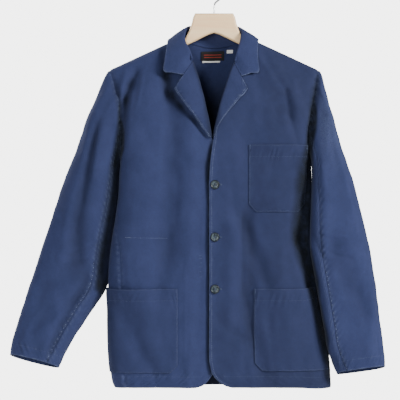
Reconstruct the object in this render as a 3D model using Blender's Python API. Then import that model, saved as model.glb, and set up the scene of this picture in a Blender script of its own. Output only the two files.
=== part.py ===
"""A cotton chore jacket hanging on a flat wooden hanger, built from its cut pieces.

Units are metres, +Z is up and the wearer's front faces -Y.  The origin is the inside of the
hanger hook's crown, where a rail holds it.  "left" and "right" in the pieces' names are the
wearer's, so a left piece lies at +X.
"""
import math

import bmesh
import bpy
import numpy as np

# ---- cloth and gaps -------------------------------------------------------------------
CLOTH = 0.0016            # thickness of the jacket's cloth walls
POCKET_CLOTH = 0.0014     # thickness of a patch pocket
LABEL_CLOTH = 0.0008      # thickness of the neck label and the size tab
SEAM_GAP = 0.0004         # room between two pieces that are sewn edge to edge
LAY_GAP = 0.0004          # room between a button or a lapel and the panel that it lies on

# ---- body -----------------------------------------------------------------------------
HEM_Z = -0.8844           # height of the hem
RIDGE_APEX_Z = -0.0785    # where the two shoulder lines would meet above the neck
RIDGE_SLOPE = 0.468       # fall of the shoulder line per metre of width
RIDGE_ROUND_X = 0.020     # how far the meeting point is rounded
RIDGE_RADIUS = 0.011      # rounding of the cloth over the shoulder line
FRONT_FALL = 0.20         # drop below the shoulder line at which the front has its full depth
BACK_FALL = 0.15          # the same for the back
SECTION_POWER = 2.6       # roundness of the body's plan: 2 is an ellipse, more is boxier
NECK_X = 0.076            # half width of the neck at the shoulder line
BACK_NECK_Z = -0.135      # height of the back neck seam at its middle
UNDERARM_Z = -0.385       # height of the underarm point
OVERLAP_STEP = 0.0036     # how far the under front lies behind the top front
OVERLAP_EASE = (-0.055, -0.025, -0.270, -0.330)   # x and z over which it moves behind
FOLD_END_FADE = 1.6       # length of a fold's soft end, in half widths
NORMAL_STEP = 0.0015      # step in turn over which a surface direction is measured
SHARP_ANGLE = 0.7         # edges that bend more than this many radians are shaded sharp

# height, half width at the wearer's right, at the wearer's left, front depth, back depth
BODY_ROWS = (
    (-0.050, 0.2400, 0.2410, 0.040, 0.036),
    (-0.185, 0.2400, 0.2410, 0.047, 0.042),
    (-0.250, 0.2370, 0.2380, 0.052, 0.046),
    (-0.300, 0.2320, 0.2320, 0.054, 0.047),
    (-0.345, 0.2240, 0.2240, 0.055, 0.046),
    (-0.385, 0.2060, 0.2145, 0.055, 0.045),
    (-0.415, 0.2075, 0.2145, 0.054, 0.043),
    (-0.460, 0.2100, 0.2135, 0.053, 0.041),
    (-0.504, 0.2150, 0.2118, 0.051, 0.039),
    (-0.545, 0.2220, 0.2105, 0.050, 0.038),
    (-0.590, 0.2285, 0.2128, 0.049, 0.038),
    (-0.640, 0.2315, 0.2228, 0.049, 0.038),
    (-0.697, 0.2315, 0.2325, 0.050, 0.039),
    (-0.748, 0.2315, 0.2430, 0.051, 0.040),
    (-0.790, 0.2305, 0.2500, 0.052, 0.041),
    (-0.840, 0.2266, 0.2548, 0.053, 0.043),
    (-0.870, 0.2215, 0.2555, 0.054, 0.044),
    (-0.8844, 0.2150, 0.2555, 0.054, 0.044),
)

# height, wearer's right front edge, left front edge, right back edge, left back edge
ARMHOLE_ROWS = (
    (-0.186, 0.2290, 0.2290, 0.2290, 0.2290),
    (-0.205, 0.2225, 0.2250, 0.2235, 0.2235),
    (-0.231, 0.2150, 0.2215, 0.2150, 0.2150),
    (-0.255, 0.2075, 0.2165, 0.2095, 0.2095),
    (-0.295, 0.2046, 0.2090, 0.2060, 0.2060),
    (-0.345, 0.2018, 0.2055, 0.2030, 0.2045),
    (-0.370, 0.2038, 0.2090, 0.2045, 0.2080),
    (-0.385, 0.2060, 0.2145, 0.2060, 0.2145),
)

# height, place of the wearer's right side seam as a share of the half width, on the front
SIDE_SEAM_ROWS = (
    (-0.385, 1.000),
    (-0.450, 0.998),
    (-0.526, 0.975),
    (-0.580, 0.905),
    (-0.653, 0.872),
    (-0.8844, 0.860),
)

# height and x of each front's inner edge: hem corner, front edge, roll line, neckline
RIGHT_EDGE_ROWS = (
    (-0.1150, -0.0760), (-0.1320, -0.0693), (-0.1496, -0.0594), (-0.1683, -0.0480),
    (-0.2068, -0.0352), (-0.2508, -0.0235), (-0.2948, -0.0139), (-0.3168, -0.0097),
    (-0.3366, -0.0055), (-0.3600, 0.0040), (-0.3900, 0.0110), (-0.4300, 0.0120),
    (-0.8000, 0.0120), (-0.8200, 0.0095), (-0.8448, 0.0000), (-0.8580, -0.0075),
    (-0.8712, -0.0150), (-0.8800, -0.0260), (-0.8844, -0.0400),
)
LEFT_EDGE_ROWS = (
    (-0.1150, 0.0760), (-0.1342, 0.0649), (-0.1540, 0.0528), (-0.1727, 0.0436),
    (-0.2068, 0.0315), (-0.2508, 0.0176), (-0.2948, 0.0066), (-0.3168, 0.0018),
    (-0.3366, -0.0013), (-0.3600, -0.0050), (-0.3900, -0.0090), (-0.4300, -0.0112),
    (-0.6700, -0.0110), (-0.8000, -0.0115), (-0.8200, -0.0108), (-0.8448, -0.0022),
    (-0.8668, 0.0110), (-0.8800, 0.0300), (-0.8844, 0.0440),
)

# folds on the fronts: start x, start z, end x, end z, half width, height (minus is a valley)
FRONT_FOLDS = (
    (-0.172, -0.180, -0.200, -0.250, 0.013, 0.0050),
    (-0.092, -0.250, -0.098, -0.585, 0.024, -0.0065),
    (-0.106, -0.560, -0.121, -0.665, 0.020, -0.0050),
    (-0.142, -0.235, -0.165, -0.650, 0.034, 0.0060),
    (-0.045, -0.380, -0.050, -0.800, 0.030, 0.0030),
    (-0.205, -0.705, -0.142, -0.830, 0.019, -0.0050),
    (-0.152, -0.700, -0.134, -0.800, 0.022, 0.0030),
    (0.120, -0.165, 0.184, -0.310, 0.015, 0.0055),
    (0.150, -0.320, 0.135, -0.560, 0.034, 0.0050),
    (0.062, -0.520, 0.108, -0.640, 0.015, -0.0060),
    (0.038, -0.530, 0.047, -0.680, 0.013, 0.0035),
    (0.056, -0.625, 0.106, -0.850, 0.018, -0.0045),
    (0.016, -0.738, 0.060, -0.770, 0.012, -0.0030),
    (0.190, -0.465, 0.175, -0.560, 0.018, -0.0070),
    (0.175, -0.560, 0.226, -0.745, 0.018, -0.0070),
    (0.150, -0.640, 0.172, -0.860, 0.026, 0.0055),
    (-0.160, -0.205, -0.190, -0.275, 0.010, -0.0050),
    (-0.191, -0.275, -0.197, -0.350, 0.011, -0.0070),
    (-0.214, -0.235, -0.204, -0.300, 0.011, -0.0100),
    (-0.203, -0.300, -0.206, -0.372, 0.011, -0.0100),
    (0.217, -0.215, 0.209, -0.300, 0.012, -0.0120),
    (0.208, -0.300, 0.208, -0.372, 0.012, -0.0120),
)

# folds on the back, in the same columns
BACK_FOLDS = (
    (-0.150, -0.215, -0.172, -0.420, 0.022, 0.0050),
    (0.148, -0.215, 0.168, -0.430, 0.022, 0.0050),
    (-0.060, -0.190, -0.078, -0.560, 0.030, -0.0045),
    (0.072, -0.200, 0.058, -0.640, 0.032, -0.0050),
    (-0.128, -0.420, -0.118, -0.860, 0.034, 0.0070),
    (-0.010, -0.420, 0.004, -0.860, 0.036, 0.0060),
    (0.122, -0.460, 0.150, -0.860, 0.034, 0.0070),
    (-0.180, -0.480, -0.178, -0.820, 0.022, -0.0055),
    (0.188, -0.520, 0.206, -0.840, 0.022, -0.0055),
)

PANEL_HEM_STEPS = (0.0, 0.006, 0.025, 0.055, 0.095)    # shares of the height, near the hem
PANEL_TOP_STEPS = (0.980, 0.991, 0.9975, 1.0)          # and over the shoulder line
UNDERARM_STEP = 0.706                                  # share of the height at the underarm
BODY_BANDS = 18           # rows of cells between hem and underarm
ARMHOLE_BANDS = 6         # rows of cells between underarm and shoulder
FRONT_COLUMNS = 15        # points across a front
BACK_NECK_PLACES = (0.0, 0.42, 0.72, 0.90)   # points across half the back neck, as shares of it
BACK_SIDE_COLUMNS = 10    # points from the neck's corner to a side
BACK_NECK_SHARE = 0.254   # share of the back's half width that the neck takes
EDGE_ROUNDS = 30          # rounds in which a row's height on an edge settles
GRID_ROUNDS = 12          # and its height across a panel
NECK_MARGIN = 0.002       # the shoulder seam's direction starts this far inside the neck's corner

# ---- sleeves --------------------------------------------------------------------------
# outer x, outer z, inner x, inner z, middle y, half depth, rise of the front above the back
RIGHT_SLEEVE_ROWS = (
    (-0.2673, -0.2706, -0.2092, -0.4060, 0.000, 0.0470, 0.000),
    (-0.2948, -0.3432, -0.2117, -0.4532, 0.002, 0.0490, 0.000),
    (-0.3256, -0.4290, -0.2168, -0.5016, 0.004, 0.0470, 0.000),
    (-0.3553, -0.5126, -0.2254, -0.5522, 0.004, 0.0440, 0.001),
    (-0.3784, -0.5808, -0.2318, -0.6050, 0.002, 0.0410, 0.002),
    (-0.3971, -0.6380, -0.2425, -0.6600, -0.002, 0.0385, 0.003),
    (-0.4125, -0.6886, -0.2717, -0.7117, -0.008, 0.0365, 0.004),
    (-0.4268, -0.7392, -0.3003, -0.7612, -0.016, 0.0350, 0.006),
    (-0.4378, -0.7788, -0.3212, -0.7975, -0.022, 0.0335, 0.008),
    (-0.4448, -0.8085, -0.3410, -0.8349, -0.027, 0.0320, 0.009),
)
LEFT_SLEEVE_ROWS = (
    (0.2541, -0.2706, 0.2166, -0.4040, -0.002, 0.0470, 0.000),
    (0.2739, -0.3410, 0.2154, -0.4488, -0.005, 0.0490, 0.000),
    (0.3003, -0.4202, 0.2136, -0.4884, -0.008, 0.0480, 0.000),
    (0.3219, -0.5016, 0.2114, -0.5412, -0.010, 0.0455, 0.001),
    (0.3384, -0.5742, 0.2124, -0.5852, -0.012, 0.0425, 0.002),
    (0.3476, -0.6358, 0.2218, -0.6402, -0.016, 0.0400, 0.003),
    (0.3553, -0.6908, 0.2316, -0.6974, -0.021, 0.0380, 0.004),
    (0.3608, -0.7392, 0.2398, -0.7480, -0.027, 0.0360, 0.006),
    (0.3663, -0.7854, 0.2468, -0.7942, -0.032, 0.0345, 0.007),
    (0.3690, -0.8335, 0.2680, -0.8475, -0.037, 0.0330, 0.008),
)
SLEEVE_POWER = 2.25       # roundness of a sleeve's section
SLEEVE_START = 0.0011     # how far the sleeve stands off the armhole's edge
SLEEVE_START_UNDER = 0.0040   # and how much further under the arm
SLEEVE_HEAD = 0.034       # how far the sleeve head carries on along the shoulder line
FRONT_SEAM_TURN = 125.0   # degrees from a sleeve's outer line, over the front, to its front seam
HIND_SEAM_TURN = 238.0    # and to its hind seam
SLEEVE_FOLD_FADE = 0.7    # length of a sleeve fold's soft end, in rows
HEAD_BANDS = 4            # rows of cells in the sleeve head
ROW_BANDS = 2             # rows of cells between two rows of a sleeve table

# sleeve folds: row it starts and ends at, turn at its start and end, half width (turn in
# degrees), height
RIGHT_SLEEVE_FOLDS = (
    (0.8, 5.2, 72.0, 104.0, 15.0, -0.0050),
    (1.0, 4.6, 40.0, 58.0, 15.0, 0.0040),
    (4.6, 6.8, 168.0, 112.0, 13.0, -0.0050),
    (5.6, 8.2, 150.0, 88.0, 13.0, 0.0035),
    (6.6, 9.2, 60.0, 92.0, 14.0, -0.0035),
    (1.5, 6.0, 292.0, 268.0, 16.0, -0.0050),
    (5.0, 8.0, 250.0, 300.0, 14.0, 0.0040),
)
LEFT_SLEEVE_FOLDS = (
    (1.2, 3.4, 66.0, 78.0, 13.0, -0.0045),
    (2.0, 5.0, 98.0, 118.0, 14.0, 0.0040),
    (3.8, 5.4, 168.0, 118.0, 12.0, -0.0045),
    (5.0, 7.6, 100.0, 72.0, 14.0, -0.0040),
    (6.4, 9.2, 44.0, 74.0, 15.0, 0.0035),
    (1.4, 5.6, 288.0, 266.0, 16.0, -0.0050),
    (5.2, 8.4, 252.0, 298.0, 14.0, 0.0040),
)

# ---- collar and lapels ----------------------------------------------------------------
# neck seam x, y, z, fold x, y, z, outer edge x, y, z, from the wearer's right gorge round the
# back of the neck to the left gorge
COLLAR_ROWS = (
    (-0.0500, -0.0330, -0.1665, -0.0489, -0.0385, -0.1640, -0.0735, -0.0465, -0.1955),
    (-0.0535, -0.0305, -0.1580, -0.0520, -0.0375, -0.1530, -0.0915, -0.0450, -0.1945),
    (-0.0590, -0.0265, -0.1475, -0.0560, -0.0350, -0.1420, -0.1089, -0.0425, -0.1912),
    (-0.0650, -0.0215, -0.1365, -0.0612, -0.0300, -0.1310, -0.1082, -0.0365, -0.1680),
    (-0.0700, -0.0165, -0.1265, -0.0648, -0.0225, -0.1200, -0.1049, -0.0290, -0.1470),
    (-0.0732, -0.0085, -0.1172, -0.0640, -0.0125, -0.1045, -0.1025, -0.0145, -0.1255),
    (-0.0728, 0.0065, -0.1147, -0.0600, 0.0030, -0.0925, -0.1012, 0.0035, -0.1205),
    (-0.0620, 0.0158, -0.1205, -0.0530, 0.0165, -0.0865, -0.0930, 0.0230, -0.1335),
    (-0.0440, 0.0208, -0.1272, -0.0380, 0.0255, -0.0860, -0.0700, 0.0350, -0.1480),
    (-0.0220, 0.0252, -0.1322, -0.0190, 0.0310, -0.0865, -0.0370, 0.0400, -0.1560),
    (0.0000, 0.0273, -0.1339, 0.0000, 0.0335, -0.0870, 0.0000, 0.0420, -0.1585),
    (0.0220, 0.0252, -0.1322, 0.0190, 0.0310, -0.0865, 0.0370, 0.0400, -0.1560),
    (0.0440, 0.0208, -0.1272, 0.0390, 0.0255, -0.0860, 0.0690, 0.0350, -0.1480),
    (0.0620, 0.0158, -0.1205, 0.0540, 0.0165, -0.0870, 0.0900, 0.0230, -0.1330),
    (0.0728, 0.0065, -0.1147, 0.0590, 0.0030, -0.0935, 0.0970, 0.0035, -0.1190),
    (0.0732, -0.0085, -0.1172, 0.0605, -0.0125, -0.1045, 0.0962, -0.0145, -0.1240),
    (0.0690, -0.0170, -0.1275, 0.0585, -0.0230, -0.1200, 0.0945, -0.0265, -0.1470),
    (0.0625, -0.0225, -0.1385, 0.0555, -0.0300, -0.1330, 0.0955, -0.0330, -0.1680),
    (0.0560, -0.0270, -0.1495, 0.0515, -0.0345, -0.1450, 0.0964, -0.0385, -0.1922),
    (0.0510, -0.0300, -0.1600, 0.0485, -0.0370, -0.1570, 0.0775, -0.0425, -0.1950),
    (0.0465, -0.0330, -0.1695, 0.0462, -0.0385, -0.1685, 0.0600, -0.0430, -0.1950),
)
COLLAR_CLOTH = 0.0018
COLLAR_ROLL = 0.0042      # reach of the collar's rolled fold
COLLAR_ARCH = 0.0065      # how far the fall arches above a straight line
STAND_POINTS = 4          # points up the collar's stand
FALL_POINTS = 6           # points down its fall

# roll line x, z, outer edge x, z, and how far the outer edge stands off the front
RIGHT_LAPEL_ROWS = (
    (-0.0063, -0.3350, -0.0105, -0.3335, 0.0035),
    (-0.0100, -0.3168, -0.0220, -0.3146, 0.0050),
    (-0.0142, -0.2948, -0.0385, -0.2904, 0.0085),
    (-0.0187, -0.2750, -0.0510, -0.2750, 0.0110),
    (-0.0238, -0.2508, -0.0640, -0.2580, 0.0130),
    (-0.0295, -0.2290, -0.0760, -0.2430, 0.0140),
    (-0.0355, -0.2068, -0.0852, -0.2312, 0.0140),
    (-0.0415, -0.1880, -0.0860, -0.2306, 0.0135),
    (-0.0478, -0.1695, -0.0866, -0.2298, 0.0130),
)
LEFT_LAPEL_ROWS = (
    (-0.0005, -0.3350, 0.0030, -0.3310, 0.0030),
    (0.0021, -0.3168, 0.0085, -0.3110, 0.0034),
    (0.0069, -0.2948, 0.0235, -0.2845, 0.0040),
    (0.0120, -0.2730, 0.0370, -0.2680, 0.0044),
    (0.0179, -0.2508, 0.0505, -0.2515, 0.0048),
    (0.0246, -0.2290, 0.0620, -0.2420, 0.0050),
    (0.0318, -0.2068, 0.0695, -0.2334, 0.0052),
    (0.0375, -0.1900, 0.0715, -0.2310, 0.0052),
    (0.0433, -0.1742, 0.0728, -0.2294, 0.0052),
)
LAPEL_ROLL = 0.0019       # how far the lapel's fold reaches past the front's edge
RIGHT_LAPEL_TUCK = 0.0022     # how far the fold goes back towards the front
LEFT_LAPEL_TUCK = 0.0029
LAPEL_TOP_GAP = 0.0006    # room between a lapel and the collar at the gorge
LAPEL_COLUMNS = 6         # points from the roll line to the outer edge
NOTCH_SHARE = 0.5         # place of the notch along a lapel's top edge

# ---- pockets --------------------------------------------------------------------------
# gap is the mean room between the pocket and its panel; gape is how far its mouth stands off
CHEST_POCKET = {"inner": 0.0748, "outer": 0.2022, "top": -0.3520, "bottom": -0.4965,
                "corner": 0.0170, "slant": 0.0055, "gap": 0.0009, "gape": 0.0020}
LEFT_POCKET = {"inner": 0.0869, "top": -0.6640, "bottom": -0.8450, "corner": 0.0165,
               "wrap": 0.840, "gap": 0.0023, "gape": 0.0015}
RIGHT_POCKET = {"inner": -0.0792, "top": -0.6640, "bottom": -0.8450, "corner": 0.0165,
                "wrap": 1.030, "gap": 0.0023, "gape": 0.0045}
MOUTH_DEPTH = 0.060       # height of the stretch below a pocket's mouth that stands off
POCKET_COLUMNS = 10
POCKET_BANDS = 8

# ---- buttons, labels ------------------------------------------------------------------
BUTTON_X = 0.0014
BUTTON_ZS = {"top": -0.4378, "middle": -0.5511, "bottom": -0.6635}
BUTTON_RADIUS = 0.0098
BUTTON_THICK = 0.0034
BUTTON_SIDES = 28
# share of the button's radius, share of its thickness, from the back's middle to the face's
BUTTON_PROFILE = ((0.78, 0.0), (0.97, 0.22), (1.0, 0.55), (0.93, 0.92), (0.82, 1.0),
                  (0.66, 0.80), (0.30, 0.72))
# gap is the mean room between a label and the back
NECK_LABEL = {"left": -0.0286, "right": 0.0225, "top": -0.1445, "bottom": -0.1640, "gap": 0.0013}
CARE_TAB = {"left": -0.0262, "right": 0.0135, "top": -0.1652, "bottom": -0.1682, "gap": 0.0013}
SIZE_TAB = {"left": 0.0285, "right": 0.0420, "top": -0.1410, "bottom": -0.1475, "gap": 0.0006}

# ---- hanger and hook ------------------------------------------------------------------
BOARD_HALF_THICK = 0.0070
BOARD_BEVEL = 0.0060
BOARD_BEVEL_STEPS = 3
BOARD_TOP_Z = -0.0605     # flat top of the hanger's middle
BOARD_GAP = 0.0019        # top edge of an arm below the shoulder line's cloth
BOARD_UNDER_Z = -0.1012   # peak of the hanger's lower edge
BOARD_UNDER_SLOPE = 0.494
BOARD_ARM_X = 0.090       # where an arm's top edge meets the shoulder line's cloth
BOARD_TIP_X = 0.207
BOARD_TIP_REACH = 0.7     # roundness of an arm's tip: 1 is a half circle
BOARD_UNDER_XS = (0.207, 0.140, 0.070, 0.030)     # points along an arm's lower edge
# x of the points that round the peak of the lower edge, and how far they lie below it
BOARD_PEAK = ((0.012, 0.0060), (0.0, 0.0022), (-0.012, 0.0060))
# x and z of the hanger's upper outline from its flat top down to the cloth
BOARD_SHOULDER = ((0.0420, -0.0605), (0.0462, -0.0690), (0.0495, -0.0836), (0.0550, -0.0990),
                  (0.0630, -0.1140))
HOOK_WIRE = 0.0020        # radius of the hook's wire
HOOK_INSIDE = 0.0160      # inner radius of the hook
HOOK_TIP_TURN = 208.0     # degrees from +X at the hook's free end
HOOK_LEAVE_TURN = -52.0   # degrees from +X where the hook leaves its circle
HOOK_SHANK_Z = -0.0450    # height below which the shank is straight
HOOK_SWING = (0.009, 0.007)   # pull of the bend between the hook's circle and its shank
HOOK_TURN_POINTS = 22     # points round the hook's circle
HOOK_BEND_POINTS = 8      # and along the bend
HOOK_DEPTH = 0.0200       # how deep the shank stands in the hanger
HOOK_ROOM = 0.0004        # room round the shank in its hole

# ---- finishes: colour, roughness, metallic --------------------------------------------
NAVY = ((0.030, 0.060, 0.180, 1.0), 0.85, 0.0)
HORN = ((0.055, 0.070, 0.075, 1.0), 0.35, 0.0)
BLACK = ((0.010, 0.010, 0.012, 1.0), 0.80, 0.0)
WHITE = ((0.800, 0.800, 0.780, 1.0), 0.80, 0.0)
BIRCH = ((0.700, 0.520, 0.340, 1.0), 0.45, 0.0)
STEEL = ((0.720, 0.720, 0.730, 1.0), 0.25, 1.0)


def clear_scene():
    for old in list(bpy.data.objects):
        bpy.data.objects.remove(old, do_unlink=True)


def make_material(name, finish):
    colour, roughness, metallic = finish
    material = bpy.data.materials.new(name)
    material.use_nodes = True
    shader = material.node_tree.nodes["Principled BSDF"]
    shader.inputs["Base Color"].default_value = colour
    shader.inputs["Roughness"].default_value = roughness
    shader.inputs["Metallic"].default_value = metallic
    return material


# ---- small helpers --------------------------------------------------------------------
def column(rows, index, height):
    """The value of one column of a table at any height, on a smooth curve through its rows."""
    table = np.array(rows, dtype=float)[::-1]
    at = table[:, 0]
    values = table[:, index]
    slopes = np.gradient(values, at)
    height = np.clip(np.asarray(height, dtype=float), at[0], at[-1])
    place = np.clip(np.searchsorted(at, height) - 1, 0, len(at) - 2)
    span = at[place + 1] - at[place]
    t = (height - at[place]) / span
    return ((2 * t**3 - 3 * t**2 + 1) * values[place] + (t**3 - 2 * t**2 + t) * span * slopes[place]
            + (3 * t**2 - 2 * t**3) * values[place + 1] + (t**3 - t**2) * span * slopes[place + 1])


def straight_column(rows, index, height):
    """The value of one column of a table at any height, with straight runs between rows."""
    table = np.array(rows, dtype=float)[::-1]
    return np.interp(height, table[:, 0], table[:, index])


def ease(share):
    share = np.clip(share, 0.0, 1.0)
    return share * share * (3.0 - 2.0 * share)


def unit(vectors):
    length = np.linalg.norm(vectors, axis=-1, keepdims=True)
    return vectors / np.maximum(length, 1e-9)


def fold_relief(folds, x, z):
    """How far the folds lift the cloth at a place: soft along each fold's line and at its ends."""
    relief = np.zeros(np.broadcast(x, z).shape)
    for x0, z0, x1, z1, half_width, height in folds:
        run = np.array((x1 - x0, z1 - z0))
        length = np.hypot(*run)
        along = ((x - x0) * run[0] + (z - z0) * run[1]) / length
        across = ((x - x0) * run[1] - (z - z0) * run[0]) / length
        past = np.maximum(np.maximum(-along, along - length), 0.0)
        fade = FOLD_END_FADE * half_width
        relief += height * np.exp(-(across / half_width)**2 - (past / fade)**2)
    return relief


# ---- body surface ---------------------------------------------------------------------
def ridge(x):
    """Height of the shoulder line."""
    return RIDGE_APEX_Z - RIDGE_SLOPE * np.sqrt(x * x + RIDGE_ROUND_X**2)


def back_top(x):
    """Height of the back's top edge: the shoulder line, and the neckline between."""
    neck = BACK_NECK_Z + (ridge(NECK_X) - BACK_NECK_Z) * (x / NECK_X)**2
    return np.where(np.abs(x) < NECK_X, neck, ridge(x))


def half_width(side, z):
    """Half width of the body: side -1 is the wearer's right, +1 the left."""
    return np.where(side < 0, column(BODY_ROWS, 1, z), column(BODY_ROWS, 2, z))


def body_point(turn, z, face):
    """A point of the body's surface.

    turn runs from -1 at the wearer's right side to +1 at the left, and past either it carries
    on round the side.  face is -1 for the front and +1 for the back.
    """
    turn, z = np.broadcast_arrays(np.asarray(turn, float), np.asarray(z, float))
    share = np.sin(turn * math.pi / 2)
    x = share * half_width(turn, z)
    facing = np.where(np.abs(turn) <= 1.0, face, -face)
    is_front = facing < 0
    depth = np.where(is_front, column(BODY_ROWS, 3, z), column(BODY_ROWS, 4, z))
    bulge = np.maximum(1.0 - np.abs(share)**SECTION_POWER, 0.0)**(1.0 / SECTION_POWER)
    drop = np.maximum(ridge(x) - z, 0.0)
    rounding = RIDGE_RADIUS * np.sqrt(1.0 - (1.0 - np.minimum(drop / RIDGE_RADIUS, 1.0))**2)
    fall = np.where(is_front, FRONT_FALL, BACK_FALL)
    spread = np.sin(np.minimum(drop / fall, 1.0) * math.pi / 2)
    out = rounding + (depth * bulge - RIDGE_RADIUS) * spread
    relief = np.where(is_front, fold_relief(FRONT_FOLDS, x, z), fold_relief(BACK_FOLDS, x, z))
    out = out + relief * bulge * np.minimum(drop / (3 * RIDGE_RADIUS), 1.0)
    return np.stack((x, facing * out, z), axis=-1)


def body_normal(turn, z, face):
    """The body surface's outward direction."""
    step = NORMAL_STEP
    by_turn = body_point(turn + step, z, face) - body_point(turn - step, z, face)
    by_height = body_point(turn, z + step / 4, face) - body_point(turn, z - step / 4, face)
    return unit(np.cross(by_turn, by_height) * -face)


def turn_at(x, z):
    """The turn at which the body's surface has a given x."""
    share = np.clip(x / half_width(x, z), -1.0, 1.0)
    return np.arcsin(share) * 2 / math.pi


def panel_steps():
    lower = np.linspace(PANEL_HEM_STEPS[-1], UNDERARM_STEP, BODY_BANDS)[1:]
    upper = np.linspace(UNDERARM_STEP, PANEL_TOP_STEPS[0], ARMHOLE_BANDS + 1)[1:-1]
    return np.concatenate((PANEL_HEM_STEPS, lower, upper, PANEL_TOP_STEPS))


def height_on_edge(step, edge_x, top):
    """Height of a row where it meets an edge whose x is known at each height."""
    z = HEM_Z + (top(edge_x(UNDERARM_Z)) - HEM_Z) * step
    for _ in range(EDGE_ROUNDS):
        z = 0.5 * z + 0.5 * (HEM_Z + (top(edge_x(z)) - HEM_Z) * step)
    return z


def side_turn(side, face, z):
    """The turn of a panel's outer edge: the armhole above the underarm, the side seam below."""
    index = (1 if side < 0 else 2) if face < 0 else (3 if side < 0 else 4)
    armhole = turn_at(side * column(ARMHOLE_ROWS, index, z), z) * side
    seam = np.ones_like(z)
    if side < 0:
        seam = np.arcsin(np.clip(column(SIDE_SEAM_ROWS, 1, z), 0, 1)) * 2 / math.pi
    if face > 0:
        seam = 2.0 - seam
    return np.where(z > UNDERARM_Z + 1e-6, armhole, seam)


def edge_x_of(side, face):
    def edge_x(z):
        return half_width(side, z) * np.sin(side_turn(side, face, z) * math.pi / 2)
    return edge_x


def shift_under_front(points):
    """Let the under front lie behind the top front where they cross."""
    start_x, end_x, start_z, end_z = OVERLAP_EASE
    across = ease((points[..., 0] - start_x) / (end_x - start_x))
    below = ease((points[..., 2] - start_z) / (end_z - start_z))
    points[..., 1] += OVERLAP_STEP * across * below
    return points


def front_grid(side):
    """Points and outward directions of a front, rows from the hem to the shoulder."""
    rows = RIGHT_EDGE_ROWS if side < 0 else LEFT_EDGE_ROWS
    steps = panel_steps()[:, None]
    shares = np.linspace(0.0, 1.0, FRONT_COLUMNS)[None, :]
    inner_z = height_on_edge(steps, lambda z: straight_column(rows, 1, z), ridge)
    inner_z[-1] = ridge(NECK_X)
    outer_z = height_on_edge(steps, edge_x_of(side, -1), ridge)
    inner = turn_at(straight_column(rows, 1, inner_z), inner_z)
    outer = side * side_turn(side, -1, outer_z)
    turn = inner + (outer - inner) * shares
    z = inner_z + (outer_z - inner_z) * shares
    for _ in range(GRID_ROUNDS):
        x = half_width(turn, z) * np.sin(turn * math.pi / 2)
        z = HEM_Z + (ridge(x) - HEM_Z) * steps
    points = body_point(turn, z, -1)
    normals = body_normal(turn, z, -1)
    if side < 0:
        points = shift_under_front(points)
    normals[-1] = shoulder_normal(points[-1, :, 0])
    return points, normals


def back_grid():
    steps = panel_steps()[:, None]
    share_side = np.linspace(BACK_NECK_SHARE, 1.0, BACK_SIDE_COLUMNS)
    share_neck = np.array(BACK_NECK_PLACES) * BACK_NECK_SHARE
    half = np.concatenate((share_neck[1:], share_side))
    shares = np.concatenate((-half[::-1], share_neck[:1], half))[None, :]
    right_z = height_on_edge(steps, edge_x_of(-1, 1), back_top)
    left_z = height_on_edge(steps, edge_x_of(1, 1), back_top)
    reach = np.where(shares < 0, side_turn(-1, 1, right_z), side_turn(1, 1, left_z))
    turn = shares * reach
    z = np.where(shares < 0, right_z, left_z)
    for _ in range(GRID_ROUNDS):
        x = half_width(turn, z) * np.sin(turn * math.pi / 2)
        z = HEM_Z + (back_top(x) - HEM_Z) * steps
    points = body_point(turn, z, 1)
    normals = body_normal(turn, z, 1)
    on_shoulder = np.abs(points[-1, :, 0]) >= NECK_X - NECK_MARGIN
    normals[-1][on_shoulder] = shoulder_normal(points[-1, :, 0])[on_shoulder]
    return points, normals


def shoulder_normal(x):
    slope = RIDGE_SLOPE * x / np.sqrt(x * x + RIDGE_ROUND_X**2)
    return unit(np.stack((slope, np.zeros_like(x), np.ones_like(x)), axis=-1))


# ---- solids from grids ----------------------------------------------------------------
def draw_in(points, first_row=0.0, last_row=0.0, first_column=0.0, last_column=0.0):
    """Move a grid's edges towards the next row or column by a distance, to leave a seam's gap."""
    moved = points.copy()
    moved[0] += unit(points[1] - points[0]) * first_row
    moved[-1] += unit(points[-2] - points[-1]) * last_row
    moved[:, 0] += unit(points[:, 1] - points[:, 0]) * first_column
    moved[:, -1] += unit(points[:, -2] - points[:, -1]) * last_column
    return moved


def wall(name, points, normals, thickness, material):
    """A closed cloth wall: the grid moved out and in by half its thickness, and its four edges."""
    rows, columns = points.shape[:2]
    outer = (points + normals * thickness / 2).reshape(-1, 3)
    inner = (points - normals * thickness / 2).reshape(-1, 3)
    count = rows * columns
    faces = []
    for row in range(rows - 1):
        for place in range(columns - 1):
            a = row * columns + place
            quad = (a, a + 1, a + columns + 1, a + columns)
            faces.append(quad)
            faces.append(tuple(count + corner for corner in reversed(quad)))
    rim = [place for place in range(columns)]
    rim += [row * columns + columns - 1 for row in range(1, rows)]
    rim += [(rows - 1) * columns + place for place in range(columns - 2, -1, -1)]
    rim += [row * columns for row in range(rows - 2, 0, -1)]
    for here, there in zip(rim, rim[1:] + rim[:1]):
        faces.append((here, count + here, count + there, there))
    mesh = bpy.data.meshes.new(name)
    mesh.from_pydata(np.concatenate((outer, inner)).tolist(), [], faces)
    return finish(name, mesh, material)


def finish(name, mesh, material):
    work = bmesh.new()
    work.from_mesh(mesh)
    bmesh.ops.recalc_face_normals(work, faces=work.faces)
    work.to_mesh(mesh)
    work.free()
    mesh.shade_smooth()
    mesh.set_sharp_from_angle(angle=SHARP_ANGLE)
    mesh.materials.append(material)
    piece = bpy.data.objects.new(name, mesh)
    bpy.context.scene.collection.objects.link(piece)
    return piece


def grid_normals(points, outward):
    """Directions square to a grid, turned to the outward side."""
    by_row = np.gradient(points, axis=0)
    by_column = np.gradient(points, axis=1)
    return unit(np.cross(by_column, by_row)) * outward


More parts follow.
